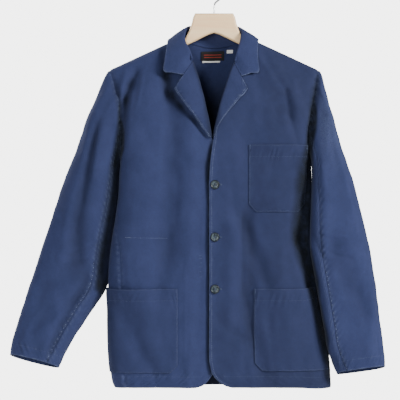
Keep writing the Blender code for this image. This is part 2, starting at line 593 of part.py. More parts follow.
# ---- body pieces ----------------------------------------------------------------------
def make_body(material):
    """The two fronts and the back.  Returns the three grids for the pieces that join them."""
    right, right_out = front_grid(-1)
    left, left_out = front_grid(1)
    back, back_out = back_grid()
    half_gap = SEAM_GAP / 2
    wall("front_right", draw_in(right, last_row=half_gap, last_column=half_gap), right_out,
         CLOTH, material)
    wall("front_left", draw_in(left, last_row=half_gap, last_column=half_gap), left_out,
         CLOTH, material)
    wall("back", draw_in(back, last_row=half_gap, first_column=half_gap, last_column=half_gap),
         back_out, CLOTH, material)
    return right, left, back


# ---- sleeves --------------------------------------------------------------------------
def armhole_ring(front, back, side):
    """Points round an armhole: shoulder tip, down the front edge, underarm, up the back edge."""
    under = len(PANEL_HEM_STEPS) + BODY_BANDS - 2
    front_edge = front[under:, -1][::-1]
    back_edge = back[under:, 0 if side < 0 else -1]
    return np.concatenate((front_edge, back_edge[1:-1]))


def ring_turns(ring):
    """The turn in degrees of each point of the armhole ring, by length along it."""
    closed = np.concatenate((ring, ring[:1]))
    lengths = np.linalg.norm(np.diff(closed, axis=0), axis=1)
    share = np.concatenate(([0.0], np.cumsum(lengths)))[:-1]
    under = int(np.argmin(ring[:, 2]))
    front = share[:under + 1] / share[under] * 180.0
    rest = 180.0 + (share[under + 1:] - share[under]) / (lengths.sum() - share[under]) * 180.0
    return np.concatenate((front, rest))


def sleeve_section(row, turns):
    outer_x, outer_z, inner_x, inner_z, middle_y, half_depth, rise = row
    angle = np.radians(turns)
    power = 2.0 / SLEEVE_POWER
    across = np.sign(np.cos(angle)) * np.abs(np.cos(angle))**power
    forward = np.sign(np.sin(angle)) * np.abs(np.sin(angle))**power
    x = (outer_x + inner_x) / 2 + (outer_x - inner_x) / 2 * across
    z = (outer_z + inner_z) / 2 + (outer_z - inner_z) / 2 * across + rise * forward
    return np.stack((x, middle_y - half_depth * forward, z), axis=-1)


def sleeve_grid(ring, rows, folds, side):
    """Points and outward directions of a whole sleeve, rows from the armhole to the cuff."""
    turns = ring_turns(ring)
    head = unit(np.array((side, 0.0, -RIDGE_SLOPE)))
    under = ((1.0 - np.cos(np.radians(turns))) / 2)[:, None]
    sideways = np.array((side, 0.0, 0.0))
    stations = [ring + head * SLEEVE_START + sideways * SLEEVE_START_UNDER * under**5]
    stations += [sleeve_section(row, turns) for row in rows]
    stations = np.array(stations)
    slopes = np.gradient(stations, axis=0)
    slopes[0] = head * SLEEVE_HEAD
    points = []
    places = []
    for index in range(len(stations) - 1):
        bands = HEAD_BANDS if index == 0 else ROW_BANDS
        for t in np.arange(bands) / bands:
            points.append((2 * t**3 - 3 * t**2 + 1) * stations[index]
                          + (t**3 - 2 * t**2 + t) * slopes[index]
                          + (3 * t**2 - 2 * t**3) * stations[index + 1]
                          + (t**3 - t**2) * slopes[index + 1])
            places.append(index + t)
    points.append(stations[-1])
    places.append(len(stations) - 1.0)
    points = np.array(points)
    normals = sleeve_normals(points, side)
    relief = sleeve_relief(folds, np.array(places)[:, None], turns[None, :])
    points = points + normals * relief[..., None]
    return points, sleeve_normals(points, side), turns


def sleeve_normals(points, side):
    """Outward directions of a sleeve, whose last column meets its first."""
    wrapped = np.concatenate((points[:, -1:], points, points[:, :1]), axis=1)
    return grid_normals(wrapped, side)[:, 1:-1]


def sleeve_relief(folds, place, turns):
    relief = np.zeros(np.broadcast(place, turns).shape)
    for start, end, turn0, turn1, width, height in folds:
        share = (place - start) / (end - start)
        line = turn0 + (turn1 - turn0) * np.clip(share, 0, 1)
        past = np.maximum(np.maximum(-share, share - 1.0), 0.0) * (end - start)
        relief += height * np.exp(-((turns - line) / width)**2 - (past / SLEEVE_FOLD_FADE)**2)
    return relief


def make_sleeve(name, ring, rows, folds, side, material):
    """A sleeve of two pieces: the wide top sleeve and the narrow under sleeve."""
    points, normals, turns = sleeve_grid(ring, rows, folds, side)
    front_seam = int(np.argmin(np.abs(turns - FRONT_SEAM_TURN)))
    hind_seam = int(np.argmin(np.abs(turns - HIND_SEAM_TURN)))
    count = len(turns)
    half_gap = SEAM_GAP / 2
    top = [index % count for index in range(hind_seam, count + front_seam + 1)]
    under = list(range(front_seam, hind_seam + 1))
    for label, picks in (("top", top), ("under", under)):
        piece = draw_in(points[:, picks], first_column=half_gap, last_column=half_gap)
        wall(f"{name}_{label}", piece, normals[:, picks], CLOTH, material)


# ---- collar and lapels ----------------------------------------------------------------
def bend(start, pull_start, pull_end, end, count):
    """Points on a cubic curve."""
    t = np.linspace(0.0, 1.0, count)[:, None]
    return ((1 - t)**3 * start + 3 * (1 - t)**2 * t * pull_start + 3 * (1 - t) * t**2 * pull_end
            + t**3 * end)


def collar_section(row):
    """Up the stand from the neck seam, round the fold, down the fall to the outer edge."""
    seam, fold, edge = (np.array(row[start:start + 3]) for start in (0, 3, 6))
    away = edge - seam
    away[2] = 0.0
    away = unit(away) * COLLAR_ROLL
    stand = bend(seam, seam + (fold - seam) * 0.5, fold - away, fold, STAND_POINTS)
    lift = np.array((0.0, 0.0, COLLAR_ARCH))
    fall = bend(fold, fold + away, edge + (fold - edge) * 0.6 + lift, edge, FALL_POINTS)
    return np.concatenate((stand, fall[1:]))


def gorge_line(rows, side, shares):
    """Points beside a lapel's top edge, from its roll line out to the notch."""
    roll_x, roll_z, edge_x, edge_z, stand_off = rows[-1]
    run = np.array((edge_x - roll_x, edge_z - roll_z))
    above = np.array((run[1] * side, -run[0] * side)) / np.hypot(*run) * LAPEL_TOP_GAP
    x = roll_x + run[0] * shares - above[0]
    z = roll_z + run[1] * shares - above[1]
    return over_front(x, z, stand_off, shares, side)


def make_collar(material):
    """The collar, whose ends meet the lapels' top edges up to the notches."""
    points = np.array([collar_section(row) for row in COLLAR_ROWS])
    shares = np.linspace(0.0, NOTCH_SHARE, FALL_POINTS)
    points[0, STAND_POINTS:] = gorge_line(RIGHT_LAPEL_ROWS, -1, shares)[1:]
    points[-1, STAND_POINTS:] = gorge_line(LEFT_LAPEL_ROWS, 1, shares)[1:]
    normals = grid_normals(points, 1.0)
    wall("collar", points, normals, COLLAR_CLOTH, material)


def over_front(x, z, stand_off, share, side):
    """Points of a lapel over the front's own surface, at a share of the lapel's width."""
    points = body_point(turn_at(x, z), z, -1)
    if side < 0:
        points = shift_under_front(points)
    base = CLOTH + LAY_GAP
    points[..., 1] -= base + LAPEL_ROLL + (stand_off - base) * np.sin(share * math.pi / 2)
    return points


def make_lapel(name, rows, side, tuck, material):
    """The front's turned-back edge: round the roll line and out over the front's own surface."""
    table = np.array(rows)
    rolls = table[:, 0:2]
    edges = table[:, 2:4]
    grid = []
    for share in np.linspace(0.0, 1.0, LAPEL_COLUMNS):
        flat = rolls + (edges - rolls) * share
        grid.append(over_front(flat[:, 0], flat[:, 1], table[:, 4], share, side))
    rolled = grid[0].copy()
    rolled[:, 0] -= side * LAPEL_ROLL
    rolled[:, 1] += tuck
    grid.insert(0, rolled)
    points = np.array(grid).transpose(1, 0, 2)
    points = draw_in(points, last_row=LAPEL_TOP_GAP)
    wall(name, points, grid_normals(points, side), CLOTH, material)


# ---- pockets, labels ------------------------------------------------------------------
def lay_on_body(turn, z, face, distance):
    """Points of the body's surface moved out, or in where the distance is negative."""
    normals = body_normal(turn, z, face)
    return body_point(turn, z, face) + normals * np.asarray(distance)[..., None], normals


def pocket_heights(top, bottom, corner):
    straight = np.linspace(top, bottom + corner, POCKET_BANDS)
    return np.append(straight, bottom)[::-1]


def pocket_gape(shares, z, top, gape):
    """How far the pocket's mouth stands off the front."""
    near_mouth = ease(1.0 - (top - z) / MOUTH_DEPTH)
    return gape * near_mouth[:, None] * np.sin(np.clip(shares, 0, 1) * math.pi)[None, :]


def make_chest_pocket(size, material):
    z = pocket_heights(size["top"], size["bottom"], size["corner"])
    cut = np.clip((size["bottom"] + size["corner"] - z) / size["corner"], 0, 1) * size["corner"]
    shares = np.linspace(0.0, 1.0, POCKET_COLUMNS)
    inner = size["inner"] + cut
    outer = size["outer"] - cut - size["slant"] * (size["top"] - z) / (size["top"] - size["bottom"])
    x = inner[:, None] + (outer - inner)[:, None] * shares[None, :]
    height = z[:, None] + np.zeros_like(x)
    distance = (CLOTH + POCKET_CLOTH) / 2 + size["gap"]
    distance = distance + pocket_gape(shares, z, size["top"], size["gape"])
    points, normals = lay_on_body(turn_at(x, height), height, -1, distance)
    wall("pocket_chest", points, normals, POCKET_CLOTH, material)


def make_lower_pocket(name, size, side, material):
    """A patch pocket that runs from the front to the side, or a little round it."""
    z = pocket_heights(size["top"], size["bottom"], size["corner"])
    cut = np.clip((size["bottom"] + size["corner"] - z) / size["corner"], 0, 1) * size["corner"]
    inner = turn_at(size["inner"] + side * cut, z)
    outer = np.full_like(z, side * size["wrap"])
    shares = np.linspace(0.0, 1.0, POCKET_COLUMNS)
    turn = inner[:, None] + (outer - inner)[:, None] * shares[None, :]
    height = z[:, None] + np.zeros_like(turn)
    distance = (CLOTH + POCKET_CLOTH) / 2 + size["gap"]
    distance = distance + pocket_gape(shares, z, size["top"], size["gape"])
    points, normals = lay_on_body(turn, height, -1, distance)
    wall(name, points, normals, POCKET_CLOTH, material)


def make_tab(name, size, columns, bands, material):
    """A small woven piece on the inside of the back, below the neck seam."""
    x = np.linspace(size["left"], size["right"], columns)[None, :] + np.zeros((bands, 1))
    z = np.linspace(size["bottom"], size["top"], bands)[:, None] + np.zeros((1, columns))
    distance = -np.full(x.shape, (CLOTH + LABEL_CLOTH) / 2 + size["gap"])
    points, normals = lay_on_body(turn_at(x, z), z, 1, distance)
    wall(name, points, normals, LABEL_CLOTH, material)


# ---- buttons --------------------------------------------------------------------------
def make_button(name, z, material):
    """A turned disc with a raised rim, standing on the top front."""
    front = body_point(turn_at(np.array(BUTTON_X), np.array(z)), np.array(z), -1)
    near = body_point(turn_at(np.array(BUTTON_X + BUTTON_RADIUS), np.array(z)), np.array(z), -1)
    seat_y = min(front[1], near[1]) - CLOTH / 2 - 2 * LAY_GAP
    angles = np.arange(BUTTON_SIDES) * 2 * math.pi / BUTTON_SIDES
    rings = []
    for radius_share, depth_share in BUTTON_PROFILE:
        radius = BUTTON_RADIUS * radius_share
        rings.append([(BUTTON_X + radius * math.cos(a), seat_y - BUTTON_THICK * depth_share,
                       z + radius * math.sin(a)) for a in angles])
    points = [point for ring in rings for point in ring]
    faces = [tuple(range(BUTTON_SIDES))]
    for ring in range(len(rings) - 1):
        for side in range(BUTTON_SIDES):
            nxt = (side + 1) % BUTTON_SIDES
            a = ring * BUTTON_SIDES
            faces.append((a + side, a + nxt, a + BUTTON_SIDES + nxt, a + BUTTON_SIDES + side))
    last = (len(rings) - 1) * BUTTON_SIDES
    faces.append(tuple(last + side for side in range(BUTTON_SIDES)))
    mesh = bpy.data.meshes.new(name)
    mesh.from_pydata(points, [], faces)
    finish(name, mesh, material)


# ---- hanger and hook ------------------------------------------------------------------
def board_outline():
    """The hanger's outline in X and Z: over the right arm, the middle and the left arm, and back."""
    arm_x = np.linspace(BOARD_ARM_X, BOARD_TIP_X, 6)
    upper = [(x, z) for x, z in BOARD_SHOULDER]
    upper += [(x, float(ridge(x)) - BOARD_GAP) for x in arm_x]
    tip_top = upper[-1][1]
    tip_under = BOARD_UNDER_Z - BOARD_UNDER_SLOPE * BOARD_TIP_X
    middle = (tip_top + tip_under) / 2
    radius = (tip_top - tip_under) / 2
    tip = []
    for share in (0.25, 0.5, 0.75):
        angle = math.pi / 2 - math.pi * share
        tip.append((BOARD_TIP_X + radius * BOARD_TIP_REACH * math.cos(angle),
                    middle + radius * math.sin(angle)))
    lower = [(x, BOARD_UNDER_Z - BOARD_UNDER_SLOPE * x) for x in BOARD_UNDER_XS]
    half = upper + tip + lower
    peak = [(x, BOARD_UNDER_Z - below) for x, below in BOARD_PEAK]
    mirrored = [(-x, z) for x, z in reversed(half)]
    return half + peak + mirrored


def make_hanger(material):
    outline = board_outline()
    work = bmesh.new()
    corners = [work.verts.new((x, -BOARD_HALF_THICK, z)) for x, z in outline]
    face = work.faces.new(corners)
    made = bmesh.ops.extrude_face_region(work, geom=[face])
    moved = [item for item in made["geom"] if isinstance(item, bmesh.types.BMVert)]
    bmesh.ops.translate(work, verts=moved, vec=(0.0, 2 * BOARD_HALF_THICK, 0.0))
    bmesh.ops.recalc_face_normals(work, faces=work.faces)
    rims = [edge for edge in work.edges if abs(edge.verts[0].co.y - edge.verts[1].co.y) < 1e-6]
    bmesh.ops.bevel(work, geom=rims, offset=BOARD_BEVEL, offset_type="OFFSET",
                    segments=BOARD_BEVEL_STEPS,
                    profile=0.5, affect="EDGES", clamp_overlap=True)
    mesh = bpy.data.meshes.new("hanger")
    work.to_mesh(mesh)
    work.free()
    hanger = finish("hanger", mesh, material)
    radius = HOOK_WIRE + HOOK_ROOM
    floor_z = BOARD_TOP_Z - HOOK_DEPTH - HOOK_ROOM
    top_z = BOARD_TOP_Z + 0.004
    bpy.ops.mesh.primitive_cylinder_add(vertices=16, radius=radius, depth=top_z - floor_z,
                                        location=(0.0, 0.0, (top_z + floor_z) / 2))
    drill = bpy.context.object
    drill.name = "hook_hole_cutter"
    drill.hide_render = True
    drill.display_type = "WIRE"
    cut = hanger.modifiers.new("hook hole", "BOOLEAN")
    cut.operation = "DIFFERENCE"
    cut.solver = "EXACT"
    cut.object = drill


def hook_route():
    """The wire's middle line: free end, over the crown, round and down into the hanger."""
    radius = HOOK_INSIDE + HOOK_WIRE
    middle_z = -HOOK_INSIDE
    turns = np.radians(np.linspace(HOOK_TIP_TURN, HOOK_LEAVE_TURN, HOOK_TURN_POINTS))
    route = [np.array((radius * math.cos(a), 0.0, middle_z + radius * math.sin(a))) for a in turns]
    leave = route[-1]
    onward = np.array((math.sin(turns[-1]), 0.0, -math.cos(turns[-1]))) * HOOK_SWING[0]
    shank = np.array((0.0, 0.0, HOOK_SHANK_Z))
    above = shank + np.array((0.0, 0.0, HOOK_SWING[1]))
    swing = bend(leave, leave + onward, above, shank, HOOK_BEND_POINTS)
    route += list(swing[1:])
    route.append(np.array((0.0, 0.0, BOARD_TOP_Z - HOOK_DEPTH)))
    return route


def make_hook(material):
    curve = bpy.data.curves.new("hook", "CURVE")
    curve.dimensions = "3D"
    curve.bevel_depth = HOOK_WIRE
    curve.bevel_resolution = 2
    curve.use_fill_caps = True
    route = hook_route()
    spline = curve.splines.new("POLY")
    spline.points.add(len(route) - 1)
    for point, place in zip(spline.points, route):
        point.co = (*place, 1.0)
    curve.materials.append(material)
    hook = bpy.data.objects.new("hook", curve)
    bpy.context.scene.collection.objects.link(hook)


def main():
    clear_scene()
    navy = make_material("navy cotton", NAVY)
    horn = make_material("horn", HORN)
    right, left, back = make_body(navy)
    make_sleeve("sleeve_right", armhole_ring(right, back, -1), RIGHT_SLEEVE_ROWS,
                RIGHT_SLEEVE_FOLDS, -1, navy)
    make_sleeve("sleeve_left", armhole_ring(left, back, 1), LEFT_SLEEVE_ROWS,
                LEFT_SLEEVE_FOLDS, 1, navy)
    make_lapel("lapel_right", RIGHT_LAPEL_ROWS, -1, RIGHT_LAPEL_TUCK, navy)
    make_lapel("lapel_left", LEFT_LAPEL_ROWS, 1, LEFT_LAPEL_TUCK, navy)
    make_collar(navy)
    make_chest_pocket(CHEST_POCKET, navy)
    make_lower_pocket("pocket_right", RIGHT_POCKET, -1, navy)
    make_lower_pocket("pocket_left", LEFT_POCKET, 1, navy)
    for place, z in BUTTON_ZS.items():
        make_button(f"button_{place}", z, horn)
    make_tab("neck_label", NECK_LABEL, 8, 4, make_material("label black", BLACK))
    white = make_material("tab white", WHITE)
    make_tab("care_tab", CARE_TAB, 6, 2, white)
    make_tab("size_tab", SIZE_TAB, 3, 3, white)
    make_hanger(make_material("birch", BIRCH))
    make_hook(make_material("steel", STEEL))


main()
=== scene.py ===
import math

import bmesh
import bpy
import numpy as np
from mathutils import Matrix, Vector


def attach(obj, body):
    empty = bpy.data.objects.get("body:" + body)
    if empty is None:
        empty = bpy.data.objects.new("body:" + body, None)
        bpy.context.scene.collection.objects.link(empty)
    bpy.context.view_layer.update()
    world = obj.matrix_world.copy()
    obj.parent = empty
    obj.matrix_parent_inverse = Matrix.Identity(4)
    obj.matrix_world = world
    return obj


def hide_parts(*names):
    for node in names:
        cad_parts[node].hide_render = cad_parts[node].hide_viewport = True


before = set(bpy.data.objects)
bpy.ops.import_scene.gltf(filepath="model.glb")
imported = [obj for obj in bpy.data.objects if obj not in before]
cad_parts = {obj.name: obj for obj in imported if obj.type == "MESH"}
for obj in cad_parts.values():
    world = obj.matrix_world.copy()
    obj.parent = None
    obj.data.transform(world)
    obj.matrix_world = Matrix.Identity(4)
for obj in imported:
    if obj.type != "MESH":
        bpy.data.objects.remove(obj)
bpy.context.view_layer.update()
print("frame loaded")

# sizes are in metres; left and right are the wearer's, so a left piece lies at +X

# the cloth's thickness and the size of the cells that its shells are made of
cloth = {
    "thick": 0.0016, "pocketThick": 0.0014, "labelThick": 0.0008, "seamGap": 0.0002,
    "layGap": 0.0004, "cell": 0.0032, "edgeCell": 0.0011, "edgeZone": 0.007, "rimRound": 0.0005,
    "leastSide": 0.01, "leastShare": 0.301}

# the trunk: its shoulder line, its plan and the places of its edges
body = {
    "hemZ": -0.8844, "hemRise": 0.0042, "frontRise": 0.0072, "hemWave": 0.0004,
    "hemRiseFrom": 0.17, "hemRiseReach": 0.07, "apexZ": -0.0785, "slope": 0.468,
    "apexRound": 0.02, "ridgeRadius": 0.011, "frontFall": 0.2, "backFall": 0.15,
    "frontPower": (4.4, 3.2), "backPower": 2.6, "neckX": 0.076, "backNeckZ": -0.135,
    "underarmZ": -0.385, "underarmShare": 0.706, "topDrop": 0.015, "topRows": 9,
    "overlapStep": 0.0036, "overlapEase": (-0.055, -0.025, -0.27, -0.33),
    # height, half width at the right, at the left, front depth, back depth
    "rows": (
        (-0.05, 0.24, 0.241, 0.04, 0.036), (-0.185, 0.24, 0.241, 0.047, 0.042),
        (-0.25, 0.237, 0.238, 0.052, 0.046), (-0.3, 0.232, 0.232, 0.054, 0.047),
        (-0.345, 0.224, 0.224, 0.055, 0.046), (-0.385, 0.206, 0.2145, 0.055, 0.045),
        (-0.415, 0.2075, 0.2145, 0.054, 0.043), (-0.46, 0.21, 0.2135, 0.053, 0.041),
        (-0.504, 0.215, 0.2118, 0.051, 0.039), (-0.545, 0.222, 0.2105, 0.05, 0.038),
        (-0.59, 0.2285, 0.2128, 0.049, 0.038), (-0.64, 0.2315, 0.2228, 0.049, 0.038),
        (-0.697, 0.2315, 0.2325, 0.05, 0.039), (-0.748, 0.2315, 0.243, 0.051, 0.04),
        (-0.79, 0.2305, 0.25, 0.052, 0.041), (-0.84, 0.2266, 0.2548, 0.053, 0.043),
        (-0.87, 0.2215, 0.2555, 0.054, 0.044), (-0.8844, 0.215, 0.2555, 0.054, 0.044)),
    # height, right front edge, left front edge, right back edge, left back edge
    "armhole": (
        (-0.186, 0.229, 0.229, 0.229, 0.229), (-0.205, 0.2225, 0.225, 0.2235, 0.2235),
        (-0.231, 0.215, 0.2215, 0.215, 0.215), (-0.255, 0.2075, 0.2165, 0.2095, 0.2095),
        (-0.295, 0.2046, 0.209, 0.206, 0.206), (-0.345, 0.2018, 0.2055, 0.203, 0.2045),
        (-0.37, 0.2038, 0.209, 0.2045, 0.208), (-0.385, 0.206, 0.2145, 0.206, 0.2145)),
    # height, place of the right side seam as a share of the half width
    "sideSeam": (
        (-0.385, 1.0), (-0.45, 0.998), (-0.526, 0.975), (-0.58, 0.905), (-0.653, 0.872),
        (-0.8844, 0.86)),
    # height and x of each front's inner edge: neckline, roll line, front edge, hem corner
    "rightEdge": (
        (-0.115, -0.076), (-0.132, -0.0693), (-0.1496, -0.0594), (-0.1683, -0.048),
        (-0.2068, -0.0352), (-0.2508, -0.0235), (-0.2948, -0.0139), (-0.3168, -0.0097),
        (-0.3366, -0.0055), (-0.36, 0.004), (-0.39, 0.011), (-0.43, 0.012), (-0.8, 0.012),
        (-0.82, 0.009), (-0.843, -0.001), (-0.851, -0.006), (-0.8605, -0.0125), (-0.869, -0.0205),
        (-0.874, -0.028), (-0.8775, -0.042)),
    "leftEdge": (
        (-0.115, 0.076), (-0.1342, 0.0649), (-0.154, 0.0528), (-0.1727, 0.0436), (-0.2068, 0.0315),
        (-0.2508, 0.0176), (-0.2948, 0.0066), (-0.3168, 0.0018), (-0.3366, -0.0013),
        (-0.36, -0.005), (-0.39, -0.009), (-0.43, -0.0112), (-0.67, -0.011), (-0.8, -0.0115),
        (-0.82, -0.0108), (-0.844, -0.006), (-0.856, 0.002), (-0.866, 0.013), (-0.873, 0.025),
        (-0.8775, 0.042))}

# the creases that hang in the cloth: start x, start z, end x, end z, half width, height
creases = {
    "front": (
        (-0.195, -0.195, -0.206, -0.245, 0.007, 0.003),
        (-0.092, -0.25, -0.098, -0.585, 0.024, -0.0065),
        (-0.106, -0.56, -0.121, -0.665, 0.02, -0.005),
        (-0.142, -0.235, -0.165, -0.65, 0.034, 0.006), (-0.045, -0.38, -0.05, -0.8, 0.03, 0.003),
        (-0.205, -0.705, -0.142, -0.83, 0.019, -0.005), (-0.152, -0.7, -0.134, -0.8, 0.022, 0.003),
        (0.13, -0.165, 0.192, -0.285, 0.013, 0.005), (0.176, -0.215, 0.18, -0.29, 0.01, 0.0028),
        (0.15, -0.32, 0.135, -0.56, 0.034, 0.005), (0.062, -0.52, 0.108, -0.64, 0.015, -0.006),
        (0.038, -0.53, 0.047, -0.68, 0.013, 0.0035), (0.056, -0.625, 0.106, -0.85, 0.018, -0.0045),
        (0.016, -0.738, 0.06, -0.77, 0.012, -0.003), (0.15, -0.64, 0.172, -0.86, 0.026, 0.0055),
        (0.098, -0.168, 0.15, -0.23, 0.016, 0.004), (0.185, -0.26, 0.188, -0.5, 0.034, 0.008),
        (0.196, -0.64, 0.214, -0.86, 0.034, 0.006), (-0.186, -0.3, -0.196, -0.64, 0.03, 0.0055),
        (0.072, -0.33, 0.076, -0.48, 0.022, -0.0035), (0.03, -0.6, 0.034, -0.74, 0.012, 0.0028)),
    # hollows by the armholes and down the sides, as deep at the side as in front
    "frontDeep": (
        (-0.172, -0.196, -0.183, -0.222, 0.008, -0.0055),
        (-0.183, -0.222, -0.1925, -0.254, 0.009, -0.007),
        (0.139, -0.208, 0.156, -0.232, 0.008, -0.0024),
        (0.156, -0.236, 0.163, -0.29, 0.007, -0.0032),
        (0.163, -0.29, 0.182, -0.351, 0.008, -0.0026),
        (0.0615, -0.505, 0.0612, -0.664, 0.004, -0.0022),
        (0.072, -0.51, 0.078, -0.65, 0.013, -0.0036), (0.066, -0.68, 0.086, -0.79, 0.012, -0.003),
        (-0.1925, -0.254, -0.2, -0.345, 0.008, -0.0085),
        (-0.18, -0.225, -0.183, -0.262, 0.007, 0.002),
        (-0.2075, -0.36, -0.212, -0.47, 0.006, -0.008),
        (-0.221, -0.52, -0.233, -0.6, 0.008, -0.006), (0.212, -0.33, 0.21, -0.42, 0.012, -0.009),
        (0.208, -0.4, 0.196, -0.47, 0.014, -0.011), (0.196, -0.47, 0.188, -0.55, 0.016, -0.015),
        (0.188, -0.55, 0.214, -0.65, 0.016, -0.015), (0.214, -0.65, 0.242, -0.76, 0.014, -0.012),
        (0.244, -0.76, 0.252, -0.85, 0.011, -0.008), (-0.112, -0.15, -0.104, -0.2, 0.009, -0.007),
        (-0.105, -0.202, -0.0985, -0.236, 0.013, -0.0086),
        (-0.094, -0.24, -0.074, -0.2656, 0.008, -0.0075),
        (-0.072, -0.268, -0.0437, -0.298, 0.0055, -0.0065),
        (-0.0425, -0.3, -0.024, -0.326, 0.0045, -0.0045)),
    "frontFine": (
        (0.0539, -0.528, 0.0535, -0.662, 0.0022, 0.0006),
        (-0.0627, -0.62, -0.064, -0.805, 0.0024, 0.0007),
        (-0.115, -0.3, -0.123, -0.43, 0.008, 0.001), (-0.19, -0.3, -0.205, -0.36, 0.005, 0.0012),
        (-0.08, -0.42, -0.084, -0.53, 0.007, -0.0008), (-0.03, -0.64, -0.042, -0.78, 0.008, -0.001),
        (-0.19, -0.6, -0.176, -0.69, 0.008, 0.0012), (-0.13, -0.84, -0.126, -0.884, 0.007, -0.0014),
        (-0.175, -0.85, -0.172, -0.884, 0.008, 0.0014),
        (-0.055, -0.82, -0.058, -0.884, 0.009, 0.0014), (0.034, -0.4, 0.046, -0.52, 0.008, -0.0009),
        (0.165, -0.2, 0.196, -0.27, 0.006, 0.0014), (0.09, -0.18, 0.105, -0.3, 0.013, -0.0014),
        (0.19, -0.33, 0.2, -0.4, 0.005, -0.0012), (0.08, -0.69, 0.09, -0.76, 0.006, 0.001),
        (0.13, -0.72, 0.136, -0.8, 0.007, 0.0009), (0.125, -0.85, 0.13, -0.884, 0.008, -0.0013),
        (0.08, -0.85, 0.082, -0.884, 0.007, 0.0012), (0.205, -0.82, 0.21, -0.884, 0.009, 0.0014),
        (-0.037, -0.592, -0.027, -0.593, 0.0024, 0.0008),
        (-0.039, -0.599, -0.028, -0.6, 0.0022, 0.0009),
        (-0.035, -0.608, -0.025, -0.607, 0.0026, 0.0007),
        (-0.038, -0.617, -0.027, -0.618, 0.0022, 0.0009),
        (-0.036, -0.626, -0.026, -0.6265, 0.0026, 0.0008),
        (-0.037, -0.637, -0.029, -0.636, 0.0024, 0.0007),
        (0.046, -0.56, 0.05, -0.63, 0.004, 0.0008), (0.097, -0.156, 0.118, -0.19, 0.006, 0.0018),
        (-0.156, -0.205, -0.166, -0.26, 0.005, 0.0014),
        (0.108, -0.76, 0.122, -0.835, 0.006, 0.0014), (0.064, -0.735, 0.066, -0.83, 0.005, -0.001)),
    "back": (
        (-0.15, -0.215, -0.172, -0.42, 0.022, 0.005), (0.148, -0.215, 0.168, -0.43, 0.022, 0.005),
        (-0.06, -0.19, -0.078, -0.56, 0.03, -0.0045), (0.072, -0.2, 0.058, -0.64, 0.032, -0.005),
        (-0.128, -0.42, -0.118, -0.86, 0.034, 0.007), (-0.01, -0.42, 0.004, -0.86, 0.036, 0.006),
        (0.122, -0.46, 0.15, -0.86, 0.034, 0.007), (-0.18, -0.48, -0.178, -0.82, 0.022, -0.0055),
        (0.188, -0.52, 0.206, -0.84, 0.022, -0.0055), (-0.118, -0.19, -0.19, -0.35, 0.013, -0.006),
        (0.112, -0.19, 0.192, -0.365, 0.014, -0.0065), (-0.15, -0.21, -0.2, -0.29, 0.01, 0.004),
        (0.148, -0.215, 0.2, -0.3, 0.01, 0.0042), (-0.15, -0.42, -0.158, -0.7, 0.013, -0.007),
        (0.15, -0.44, 0.168, -0.78, 0.014, -0.0075), (-0.032, -0.33, -0.046, -0.72, 0.014, -0.0055),
        (0.058, -0.5, 0.072, -0.83, 0.015, -0.0065), (0.02, -0.205, 0.016, -0.42, 0.016, 0.0036)),
    "backFine": (
        (-0.11, -0.2, -0.165, -0.33, 0.01, 0.0016), (0.105, -0.205, 0.16, -0.33, 0.011, 0.0016),
        (-0.02, -0.17, -0.026, -0.33, 0.012, -0.0013), (0.03, -0.18, 0.036, -0.3, 0.01, 0.0012),
        (-0.095, -0.5, -0.09, -0.7, 0.01, -0.0012), (0.035, -0.56, 0.042, -0.8, 0.011, 0.0013),
        (0.095, -0.42, 0.092, -0.56, 0.009, -0.0012), (-0.045, -0.7, -0.05, -0.88, 0.011, -0.0015),
        (0.085, -0.76, 0.09, -0.88, 0.01, -0.0014), (-0.165, -0.7, -0.16, -0.88, 0.01, 0.0014))}

# uneven hand of washed cotton: size of the waves, how much longer they are up than across, height
hand = ((0.075, 2.2, 0.0011), (0.03, 1.7, 0.00042), (0.013, 1.3, 0.00016))


def hermite(t, first, last, firstSlope, lastSlope):
    # a smooth curve from one value to the next, with its slope at each
    return ((2 * t**3 - 3 * t**2 + 1) * first + (t**3 - 2 * t**2 + t) * firstSlope
            + (3 * t**2 - 2 * t**3) * last + (t**3 - t**2) * lastSlope)


def column(rows, index, height):
    # one column of a table at any height, on a smooth curve through its rows
    table = np.array(rows, dtype=float)[::-1]
    at, values = table[:, 0], table[:, index]
    slopes = np.gradient(values, at)
    height = np.clip(np.asarray(height, dtype=float), at[0], at[-1])
    row = np.clip(np.searchsorted(at, height) - 1, 0, len(at) - 2)
    span = at[row + 1] - at[row]
    return hermite((height - at[row]) / span, values[row], values[row + 1], span * slopes[row],
                   span * slopes[row + 1])


def straightColumn(rows, index, height):
    table = np.array(rows, dtype=float)[::-1]
    return np.interp(height, table[:, 0], table[:, index])


def finerRows(rows, count):
    # more rows between those of a table, on a smooth curve through them
    table = np.array(rows, dtype=float)
    slopes = np.gradient(table, axis=0)
    rows = np.linspace(0, len(table) - 1, count)
    base = np.clip(rows.astype(int), 0, len(table) - 2)
    return hermite((rows - base)[:, None], table[base], table[base + 1], slopes[base],
                   slopes[base + 1])


def ease(share):
    share = np.clip(share, 0.0, 1.0)
    return share * share * (3.0 - 2.0 * share)


def unit(vectors):
    return vectors / np.maximum(np.linalg.norm(vectors, axis=-1, keepdims=True), 1e-9)


def cellShares(length, cell, startCell=None, endCell=None, zone=None):
    # shares of a length for cells of about one size, finer near an end that is given its own
    zone = zone or cloth["edgeZone"]
    at = np.linspace(0.0, length, 3000)
    size = np.full_like(at, cell)
    if startCell:
        size = np.minimum(size, startCell + (cell - startCell) * ease((at - zone) / zone))
    if endCell:
        size = np.minimum(size, endCell + (cell - endCell) * ease((length - at - zone) / zone))
    total = np.concatenate(([0.0], np.cumsum(np.diff(at) / size[1:])))
    count = int(math.ceil(total[-1]))
    return np.interp(np.linspace(0.0, total[-1], count + 1), total, at / length)


